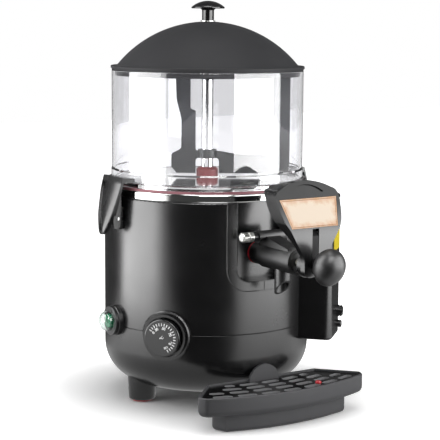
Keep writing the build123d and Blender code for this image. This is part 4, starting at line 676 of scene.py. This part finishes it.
def make_lights(studio):
    """Large soft lamps for matt surfaces, and bright panels that only shiny surfaces show."""
    fill, shine = studio.fill, studio.shine
    # name, place and target as metres towards the camera, right of it and up, width, height,
    # brightness on matt surfaces, brightness in shiny ones
    for name, place, target, width, tall, matt, shiny in (
        ("softbox_left", (0.4, -1.55, 0.75), (0, 0, 0.22), 1.6, 1.9, fill, 0.0),
        ("softbox_right", (0.65, 1.46, 0.75), (0, 0, 0.22), 1.9, 1.9, fill, 0.0),
        ("softbox_top", (0.2, 0.0, 1.9), (0, 0, 0.22), 1.4, 1.4, fill, 0.0),
        ("panel_left", (0.166, -0.629, 0.55), (0.02, 0.004, 0.55), 0.56, 1.1, 0.0, shine),
        ("panel_left_edge", (0.482, -0.556, 0.55), (0.336, 0.077, 0.55), 0.089, 1.1, 0.0, 0.5 * shine),
        ("panel_right", (0.348, 0.558, 0.388), (0.083, -0.037, 0.388), 0.762, 0.535, 0.0, shine),
        ("panel_right_low", (0.348, 0.558, 0.06), (0.083, -0.037, 0.06), 0.762, 0.12, 0.0, 0.38 * shine),
        ("panel_front", (0.825, 0.13, 0.831), (0.2, 0.13, 0.184), 0.5, 0.5, 0.0, 1.6 * shine),
        ("panel_over", (0.1, 0.0, 1.3), (0, 0, 0.2), 0.6, 0.6, 0.0, 0.7 * shine),
    ):
        place, target = (TOWARDS * ahead + RIGHT * aside + UP * up for ahead, aside, up in (place, target))
        data = bpy.data.lights.new(name, "AREA")
        data.shape = "RECTANGLE"
        data.size = width
        data.size_y = tall
        # An area lamp's brightness is a quarter of its watts over its area
        data.energy = (matt + shiny) * 4 * width * tall
        lamp = add_object(name, data)
        lamp.location = place
        lamp.rotation_euler = (place - target).to_track_quat("Z", "Y").to_euler()
        lamp.visible_camera = False
        lamp.visible_diffuse = matt > 0
        lamp.visible_glossy = lamp.visible_transmission = shiny > 0


def colour_property(name, code, description):
    """A colour that a user would change."""
    return FloatVectorProperty(
        name=name, description=description, subtype="COLOR", size=3, min=0, max=1, default=srgb(code)
    )


def number_property(name, default, description, **kind):
    """A size or level that a user would change."""
    return FloatProperty(name=name, default=default, description=description, **kind)


class DispenserFinishes(bpy.types.PropertyGroup):
    """Colours of the dispenser's surfaces."""

    housing: colour_property("Housing", "#0F0F10", "Moulded black body, tap and latches")
    lid: colour_property("Lid", "#313133", "Moulded dark grey lid")
    gloss: colour_property("Gloss parts", "#151516", "Lid knob, dial and switch bezel")
    stirrer: colour_property("Stirrer", "#35363A", "Moulded stirrer in the jar")
    tray: colour_property("Drip tray", "#2C2C2F", "Moulded drip tray")
    grid: colour_property("Tray grid", "#101011", "Moulded grid over the tray")
    jar: colour_property("Jar", "#F4F4F6", "Tint of the clear jar")
    seal: colour_property("Seals", "#B3202B", "Red silicone seals and leg pads")
    # The gasket's paler, greyer red is a painted reflection over red silicone
    gasket: colour_property("Gasket", "#8E5860", "Red gasket under the jar, paled by painted reflection")
    float_red: colour_property("Float", "#D8323C", "Level float in the tray")
    rocker: colour_property("Rocker", "#0B6A47", "Lit rocker of the switch")
    steel: colour_property("Steel", "#DCDCDA", "Polished stainless steel")
    paper: colour_property("Card", "#F5E3CE", "Middle of the sign card")
    paper_edge: colour_property("Card edge", "#D9A06E", "Warm mottling towards the card's edge")
    label_upper: colour_property("Label, upper", "#F4F4F2", "Upper part of the plain side label")
    label_lower: colour_property("Label, lower", "#F2D90C", "Lower part of the plain side label")
    ink: colour_property("Dial print", "#F2F2F2", "Ticks and numbers on the dial")


class DispenserDial(bpy.types.PropertyGroup):
    """Layout of the dial's printed scale."""

    ticks: IntProperty(name="Ticks", description="Ticks on the scale", default=19, min=2, max=60)
    first: number_property("First tick", radians(149), "Angle of the first tick", subtype="ANGLE")
    last: number_property("Last tick", radians(-62), "Angle of the last tick", subtype="ANGLE")
    tick_radius: number_property("Tick radius", 15.4 * MM, "Centre to a tick's middle", unit="LENGTH")
    tick_length: number_property("Tick length", 3.2 * MM, "Length of a tick", unit="LENGTH")
    number_radius: number_property("Number radius", 11.2 * MM, "Centre to a number's middle", unit="LENGTH")
    number_size: number_property("Number size", 4.2 * MM, "Type size", unit="LENGTH")


class DispenserStudio(bpy.types.PropertyGroup):
    """Camera and light levels."""

    lens: number_property("Lens", 116.75, "Focal length in millimetres", min=10)
    distance: number_property("Distance", 1665 * MM, "Camera from the axis", unit="LENGTH")
    height: number_property("Height", 441 * MM, "Camera over the table", unit="LENGTH")
    ambient: number_property("Ambient", 0.27, "World light on matt surfaces", min=0)
    fill: number_property("Fill", 1.25, "Brightness of the lamps on matt surfaces", min=0)
    shine: number_property("Shine", 5.8, "Brightness of the panels in shiny surfaces", min=0)


class DispenserOperator(bpy.types.Operator):
    """Base of the dispenser's operators."""

    bl_options = {"REGISTER", "UNDO"}


class DISPENSER_OT_housing(DispenserOperator):
    """Finish the body, the outlet cover, the side box and what is inside them"""

    bl_idname = "dispenser.housing"
    bl_label = "Housing"

    # Bead between the body's top and the steel ring
    LIP = ((118.0, 239.8), (119.4, 239.8), (119.0, 240.8), (118.0, 241.0))
    # Fittings on the side box: heights, step to the side, and sections as (radius, distance from its face)
    GLAND_HEIGHT, PLUG_HEIGHT, FITTING_SIDE = 102.0, 86.6, 14.0
    GLAND = (
        (2.9, -11.5), (6.4, -11.5), (6.4, -4.5), (4.4, -4.5), (4.4, 0), (6.8, 0), (6.8, 2),
        (5.6, 2), (5.6, 3.4), (6.6, 3.4), (6.6, 5), (5.2, 5), (5.2, 6.2), (2.9, 6.2),
    )
    PLUG = ((0, -1), (4.3, -1), (4.3, 4.4), (3.7, 5), (0, 5))

    def execute(self, context):
        colours = context.scene.dispenser_finishes
        # ABS moulded in a spark-eroded tool: satin, with broad soft highlights
        black = grained("Moulded ABS, black", colours.housing, 0.25, grain=1.2, depth=0.008)
        coat(black, "base_pan", "body_shell", "outlet_cover", "switch_body", "thermostat")
        place = partial(on_side, BOX_ANGLE, BOX_R, aside=self.FITTING_SIDE)
        for name, form, *stands_for in (
            ("leg_sleeves", leg_sleeves()),
            ("body_lip", turned(self.LIP, steps=192)),
            ("cover_edges", cover_edges()),
            ("gland_ribs", turned(self.GLAND, place(self.GLAND_HEIGHT), steps=48), "cable_gland"),
            ("side_plug", turned(self.PLUG, place(self.PLUG_HEIGHT), steps=48)),
        ):
            add_piece(name, form, black, "base", "black_satin_plastic", *stands_for)
        # Sheet and wire steel: grey, the shine drawn out along the brushing
        steel = metal("Brushed stainless steel", srgb("#B9B9B6"), 0.28, line=0.4, stretch=(1, 1, 0.05))
        coat(steel, "base_screws", "motor_bracket", "ring_heater", "water_tank", "outlet_pipe", "knob_washer",
             "knob_screw", "lever_spring", "lever_pin")
        # Cast aluminium: grey, dull and a little uneven
        cast = grained("Die-cast aluminium", srgb("#A6A7A8"), 0.48, grain=0.9, depth=0.02)
        set_shader(cast, {"Metallic": 1.0})
        coat(cast, "gear_motor")
        # Polyamide without pigment: ivory, half matt
        pale = grained("Moulded polyamide, pale", srgb("#DAD6CA"), 0.5, grain=0.8, depth=0.01)
        coat(pale, "terminal_block", "tap_piston")
        return {"FINISHED"}


class DISPENSER_OT_seals(DispenserOperator):
    """Finish the red seals, the leg pads and the tray's float"""

    bl_idname = "dispenser.seals"
    bl_label = "Seals"

    # The gasket ends inside the jar's flange
    GASKET = ((108.3, 249.0), (115.0, 249.0), (115.0, 251.5), (108.3, 251.5))

    def execute(self, context):
        colours = context.scene.dispenser_finishes
        pressed = {"grain": 0.7, "depth": 0.008, "spread": 0.1}
        # Silicone pressed in a polished mould: a deep even red with a dull skin
        red = grained("Moulded silicone, red", colours.seal, 0.42, **pressed)
        coat(red, "tap_o_ring", "piston_seal", "leg_pads")
        # The shaft's lip seal is darker from use
        lip = grained("Moulded silicone, dark red", shade(colours.seal, 0.3), 0.45, **pressed)
        coat(lip, "shaft_seal")
        # Painted reflection: the flat gasket's red is paler and greyer than the other seals, standing in for
        # light reflected over it
        reflection_paled_red = grained("Pressed silicone, milky red", colours.gasket, 0.5, **pressed)
        add_piece("gasket_ring", turned(self.GASKET, steps=128), reflection_paled_red, "base", "red_silicone", "jar_gasket")
        # Polypropylene, brighter and shinier than the silicone
        moulded = {"grain": 0.7, "depth": 0.004, "spread": 0.06}
        bright = grained("Moulded polypropylene, red", colours.float_red, 0.25, **moulded)
        coat(bright, "tray_float")
        return {"FINISHED"}


class DISPENSER_OT_lid(DispenserOperator):
    """Finish the lid, its knob and the dial"""

    bl_idname = "dispenser.lid"
    bl_label = "Lid"

    def execute(self, context):
        colours = context.scene.dispenser_finishes
        # Polypropylene with a fine matt grain: even grey, hardly any shine
        grey = grained("Moulded polypropylene, dark grey", colours.lid, 0.6, grain=1.1, depth=0.015)
        set_shader(grey, {"Specular IOR Level": 0.15})
        add_piece("lid_dome", turned(lid_profile(), steps=128), grey, "lid", "grey_lid_plastic", "lid")
        # Polished ABS: black with crisp highlights
        gloss = grained("Polished ABS, black", colours.gloss, 0.16, grain=1.5, depth=0.002)
        coat(gloss, "dial")
        add_piece("lid_handle", turned(knob_profile()), gloss, "lid", "black_gloss_plastic", "lid_knob")
        return {"FINISHED"}


class DISPENSER_OT_jar(DispenserOperator):
    """Finish the clear jar"""

    bl_idname = "dispenser.jar"
    bl_label = "Jar"

    def execute(self, context):
        # Polycarbonate: colourless, strong clean reflections, a long faint ripple from moulding
        tint = context.scene.dispenser_finishes.jar
        coat(clear_plastic("Moulded polycarbonate, clear", tint, 0.015, ripple=45.0, depth=0.05), "jar")
        # So clear a wall hardly dims the light on what is behind it
        NODES["jar"].visible_shadow = False
        return {"FINISHED"}


class DISPENSER_OT_stirrer(DispenserOperator):
    """Finish the heated floor, the shaft and the stirrer"""

    bl_idname = "dispenser.stirrer"
    bl_label = "Stirrer and heated floor"

    # Heights between which the stirrer's stain runs out
    STAIN_LOW, STAIN_HIGH = 292.0, 312.0

    def execute(self, context):
        colours = context.scene.dispenser_finishes
        # Stainless steel polished almost to a mirror, with faint spin lines
        mirror = metal("Polished stainless steel", colours.steel, 0.09, line=0.8, stretch=(1, 1, 0.3))
        coat(mirror, "heated_floor")
        # Ground and chromed bar: a mirror with lines along it
        bar = metal("Ground chromed steel", srgb("#E6E6E6"), 0.07, line=0.6, stretch=(1, 1, 0.02))
        coat(bar, "drive_shaft", "latch_pins")
        # Polyamide for food: dark grey, dull; the arms that stay in the drink are stained darker
        paddle = grained("Moulded polyamide, dark", colours.stirrer, 0.42, grain=1.0, depth=0.01)
        stained = by_height(paddle, self.STAIN_LOW, self.STAIN_HIGH, 1.0, 0.0)
        paint_over(paddle, stained, shade(colours.stirrer, 0.3))
        coat(paddle, "stirrer")
        return {"FINISHED"}


class DISPENSER_OT_tap(DispenserOperator):
    """Finish the tap, its sign frame, lever and lock pin"""

    bl_idname = "dispenser.tap"
    bl_label = "Tap"

    # Heights between which the frame's shine drops, the shine below and the lower shine above, which paints
    # the head's shade, and where the lock pin's bare head ends
    CARD_FOOT, CARD_HEAD = 214.0, 246.0
    POLISHED, ERODED = 0.5, 0.14
    COLLAR_X = -24.0

    def execute(self, context):
        colours = context.scene.dispenser_finishes
        black = colours.housing
        # The same ABS as the body from a finely eroded tool: the shine spreads over half the barrel
        fine = grained("Moulded ABS, fine satin black", black, 0.38, grain=1.0, depth=0.006)
        coat(fine, "tap_barrel", "rod_gland")
        # Painted shade: the frame's head above the card gets less shine than the face below, so it stays
        # darker, as if it turned away from the light
        sign = grained("Moulded ABS, black sign frame", black, 0.24, grain=1.0, depth=0.006)
        painted_head_shade = by_height(sign, self.CARD_FOOT, self.CARD_HEAD, self.POLISHED, self.ERODED)
        set_shader(sign, {"Specular IOR Level": painted_head_shade})
        coat(sign, "sign_frame")
        # Eroded finish: one broad soft highlight
        satin = grained("Moulded ABS, satin black", shade(black, 1.25), 0.42, grain=0.9, depth=0.01)
        coat(satin, "lever_knob")
        # Polyamide lever in the slot: black and nearly without shine
        matt = grained("Moulded polyamide, matt black", black, 0.55, grain=0.9, depth=0.01)
        set_shader(matt, {"Specular IOR Level": 0.15})
        coat(matt, "tap_lever")
        # Turned steel head, satin with bands round it, in a black collar towards the tap
        pin = metal("Turned steel", srgb("#D2D2CE"), 0.3, line=0.7, stretch=(0.05, 1, 1))
        ends = (place_along(pin, "X"), self.COLLAR_X * MM)
        paint_over(pin, add_node(pin.node_tree, "Math", ends, operation="GREATER_THAN"), black)
        set_shader(pin, {"Metallic": add_node(pin.node_tree, "Math", ends, operation="LESS_THAN")})
        coat(pin, "lock_pin")
        return {"FINISHED"}


class DISPENSER_OT_card(DispenserOperator):
    """Finish the plain sign card in the tap's frame"""

    bl_idname = "dispenser.card"
    bl_label = "Sign card"

    def execute(self, context):
        coat(parchment(context.scene.dispenser_finishes), "sign_card")
        return {"FINISHED"}


class DISPENSER_OT_latches(DispenserOperator):
    """Finish the two side latches"""

    bl_idname = "dispenser.latches"
    bl_label = "Latches"

    def execute(self, context):
        colours = context.scene.dispenser_finishes
        # Polyamide with glass fibre: black, smooth, a slightly uneven shine
        black = grained("Moulded polyamide, black", colours.housing, 0.26, grain=1.4, depth=0.01, spread=0.2)
        coat(black, "latch_bracket_left", "latch_bracket_right")
        for node, side in (("latch_left", -1), ("latch_right", 1)):
            latch = bmesh.new()
            for add_form in (latch_leaf, latch_hook, latch_cheeks):
                add_form(latch, side)
            add_piece(f"{node}_leaf", latch, black, node, "black_satin_plastic", node)
        return {"FINISHED"}


class DISPENSER_OT_dial(DispenserOperator):
    """Print the dial's ticks, numbers and unit"""

    bl_idname = "dispenser.dial"
    bl_label = "Dial scale"

    # The dial's face on the body's side, and the print's thickness, extra boldness and ticks
    ANGLE, FACE_R, HEIGHT = -54.0, 134.0, 90.0
    INK, BOLD, TICK_WIDTH, TICK_CORNER = 0.12, 0.2, 1.15, 0.35
    # Numbers with their angles, the share of the type size that three digits have, and the unit's turn
    NUMBERS = (("0", 150), ("30", 123), ("50", 77.6), ("70", 27), ("90", -23), ("110", -62.5))
    LONG_SHARE, UNIT_TURN = 0.8, radians(43)

    def spot(self, radius, angle, turn):
        """Placement of a mark on the dial's face, at a radius in metres and an angle."""
        aside, above = radius / MM * cos(angle), radius / MM * sin(angle)
        return on_side(self.ANGLE, self.FACE_R, self.HEIGHT, aside, above, turn)

    def execute(self, context):
        scale = context.scene.dispenser_dial
        # Pad-printed ink: flat white, slightly raised
        white = context.scene.dispenser_finishes.ink
        ink = grained("Printing ink, white", white, 0.45, grain=0.5, depth=0.004, spread=0.03)
        marks = bmesh.new()
        for index in range(scale.ticks):
            angle = scale.first + (scale.last - scale.first) * index / (scale.ticks - 1)
            place = self.spot(scale.tick_radius, angle, angle)
            rounded_plate(marks, scale.tick_length / MM, self.TICK_WIDTH, self.TICK_CORNER, self.INK, place)
        size = scale.number_size / MM
        for text, angle in self.NUMBERS:
            share = self.LONG_SHARE if len(text) == 3 else 1.0
            place = self.spot(scale.number_radius, radians(angle), radians(angle - 90))
            add_text(marks, text, size * share, self.BOLD, self.INK, place)
        add_text(marks, "°C", size, self.BOLD, self.INK, self.spot(0, 0, self.UNIT_TURN))
        add_piece("dial_scale", marks, ink, "dial", "black_gloss_plastic")
        return {"FINISHED"}


class DISPENSER_OT_switch(DispenserOperator):
    """Finish the lit switch and its clear cover"""

    bl_idname = "dispenser.switch"
    bl_label = "Switch"

    # From the body's side outwards: two stacked rings, with a groove inside for the rocker's pivot studs
    ANGLE, HEIGHT = -92.0, 97.0
    BEZEL = (
        (9.9, -2), (17.2, -2), (17.2, 3.4), (16.6, 4), (15.8, 4), (15.8, 6), (16.2, 6), (16.8, 6.6),
        (16.8, 7.8), (16.2, 8.4), (9.9, 8.4), (9.9, 6.4), (11.2, 6.4), (11.2, 3.6), (9.9, 3.6),
    )

    def execute(self, context):
        colours = context.scene.dispenser_finishes
        # Clear-tinted polycarbonate with a lamp behind it: saturated green that glows a little
        lit = grained("Moulded polycarbonate, green", colours.rocker, 0.2, grain=2.0, depth=0.01)
        set_shader(lit, {"Emission Color": colours.rocker, "Emission Strength": 0.03})
        coat(lit, "switch_rocker")
        # Satin ABS: black, the shine spread wide
        satin = grained("Satin ABS, black bezel", shade(colours.gloss, 0.7), 0.36, grain=1.5, depth=0.006)
        bezel = turned(self.BEZEL, on_side(self.ANGLE, BODY_R, self.HEIGHT), steps=64)
        add_piece("switch_rings", bezel, satin, "base", "black_gloss_plastic", "switch_bezel")
        # Soft PVC splash cover: clear, a little uneven
        cover = clear_plastic("Moulded PVC, clear", srgb("#DDE4E1"), 0.04, ripple=6.0, depth=0.08)
        coat(cover, "switch_cover")
        NODES["switch_cover"].visible_shadow = False
        return {"FINISHED"}


class DISPENSER_OT_tray(DispenserOperator):
    """Finish the drip tray and its grid"""

    bl_idname = "dispenser.tray"
    bl_label = "Drip tray"

    # Plan: radius of the front, its reach to each side, and (x, y, radius) corners of the right side
    PLAN = 274.3, 94.0, ((105.0, -167.1, 9), (110.0, -156.5, 6), (73.0, -116.5, 6))
    # A face of the grid is a wall when its normal points less upwards than this
    WALL_FACING = 0.5

    def execute(self, context):
        colours = context.scene.dispenser_finishes
        plan = tray_plan(*self.PLAN)
        # Polypropylene with a matt grain: mid grey, no shine
        grey = grained("Moulded polypropylene, grey", colours.tray, 0.58, grain=1.3, depth=0.02)
        add_piece("tray_basin", tray_basin(plan), grey, "tray", "grey_tray_plastic", "drip_tray")
        # The grid is darker and smoother; the walls of its slots are painted pale grey, a painted highlight
        # for the light they catch
        dark = grained("Moulded polypropylene, black", colours.grid, 0.2, grain=1.0, depth=0.006)
        set_shader(dark, {"Specular IOR Level": 0.22})
        tree = dark.node_tree
        facing = add_node(tree, "NewGeometry").outputs["Normal"]
        upright = add_node(tree, "SeparateXYZ", {"Vector": facing}).outputs["Z"]
        wall = add_node(tree, "Math", (upright, 0.0, self.WALL_FACING), operation="COMPARE")
        # Painted highlight: every upright face of the grid turns pale grey
        paint_over(dark, wall, srgb("#A6A6A8"))
        add_piece("grid_plate", grid_plate(plan), dark, "grid", "black_fittings", "tray_grid")
        return {"FINISHED"}


class DISPENSER_OT_label(DispenserOperator):
    """Put the plain two-colour label on the side box"""

    bl_idname = "dispenser.label"
    bl_label = "Side label"

    # Foot and top of the two parts
    PARTS = (("label_upper", 227.5, 236.0), ("label_lower", 176.5, 227.1))
    WIDTH, CORNER, THICKNESS = 37.0, 1.5, 0.2

    def execute(self, context):
        # Self-adhesive vinyl: flat colour under a smooth film
        for name, foot, top in self.PARTS:
            colour = getattr(context.scene.dispenser_finishes, name)
            plate = bmesh.new()
            place = on_side(BOX_ANGLE, BOX_R, (foot + top) / 2)
            rounded_plate(plate, self.WIDTH, top - foot, self.CORNER, self.THICKNESS, place)
            film = grained(f"Vinyl film, {name}", colour, 0.35, grain=3.0, depth=0.004, spread=0.03)
            add_piece(name, plate, film, "base", "black_satin_plastic")
        return {"FINISHED"}


class DISPENSER_OT_stage(DispenserOperator):
    """Build the floor, the studio light and the camera"""

    bl_idname = "dispenser.stage"
    bl_label = "Stage"

    def execute(self, context):
        scene = context.scene
        scene.view_settings.view_transform = "Standard"
        make_camera(scene, scene.dispenser_studio)
        make_world(scene, scene.dispenser_studio)
        make_floor()
        make_lights(scene.dispenser_studio)
        return {"FINISHED"}


# The operators in the order above
STEPS = tuple(DispenserOperator.__subclasses__())

GROUPS = (
    (DispenserFinishes, "dispenser_finishes"),
    (DispenserDial, "dispenser_dial"),
    (DispenserStudio, "dispenser_studio"),
)


class DISPENSER_PT_panel(bpy.types.Panel):
    """Sidebar panel with the dispenser's steps and settings"""

    bl_idname = "DISPENSER_PT_panel"
    bl_label = "Dispenser"
    bl_space_type = "VIEW_3D"
    bl_region_type = "UI"
    bl_category = "Dispenser"

    def draw(self, context):
        for step in STEPS:
            self.layout.operator(step.bl_idname)
        for group, name in GROUPS:
            for setting in group.__annotations__:
                self.layout.prop(getattr(context.scene, name), setting)


def register():
    for group, name in GROUPS:
        bpy.utils.register_class(group)
        setattr(bpy.types.Scene, name, PointerProperty(type=group))
    for cls in (*STEPS, DISPENSER_PT_panel):
        bpy.utils.register_class(cls)


def unregister():
    for cls in reversed((*STEPS, DISPENSER_PT_panel)):
        bpy.utils.unregister_class(cls)
    for group, name in reversed(GROUPS):
        delattr(bpy.types.Scene, name)
        bpy.utils.unregister_class(group)


def main():
    """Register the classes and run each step."""
    register()
    for step in STEPS:
        group, name = step.bl_idname.split(".")
        getattr(getattr(bpy.ops, group), name)()


if __name__ == "__main__":
    main()
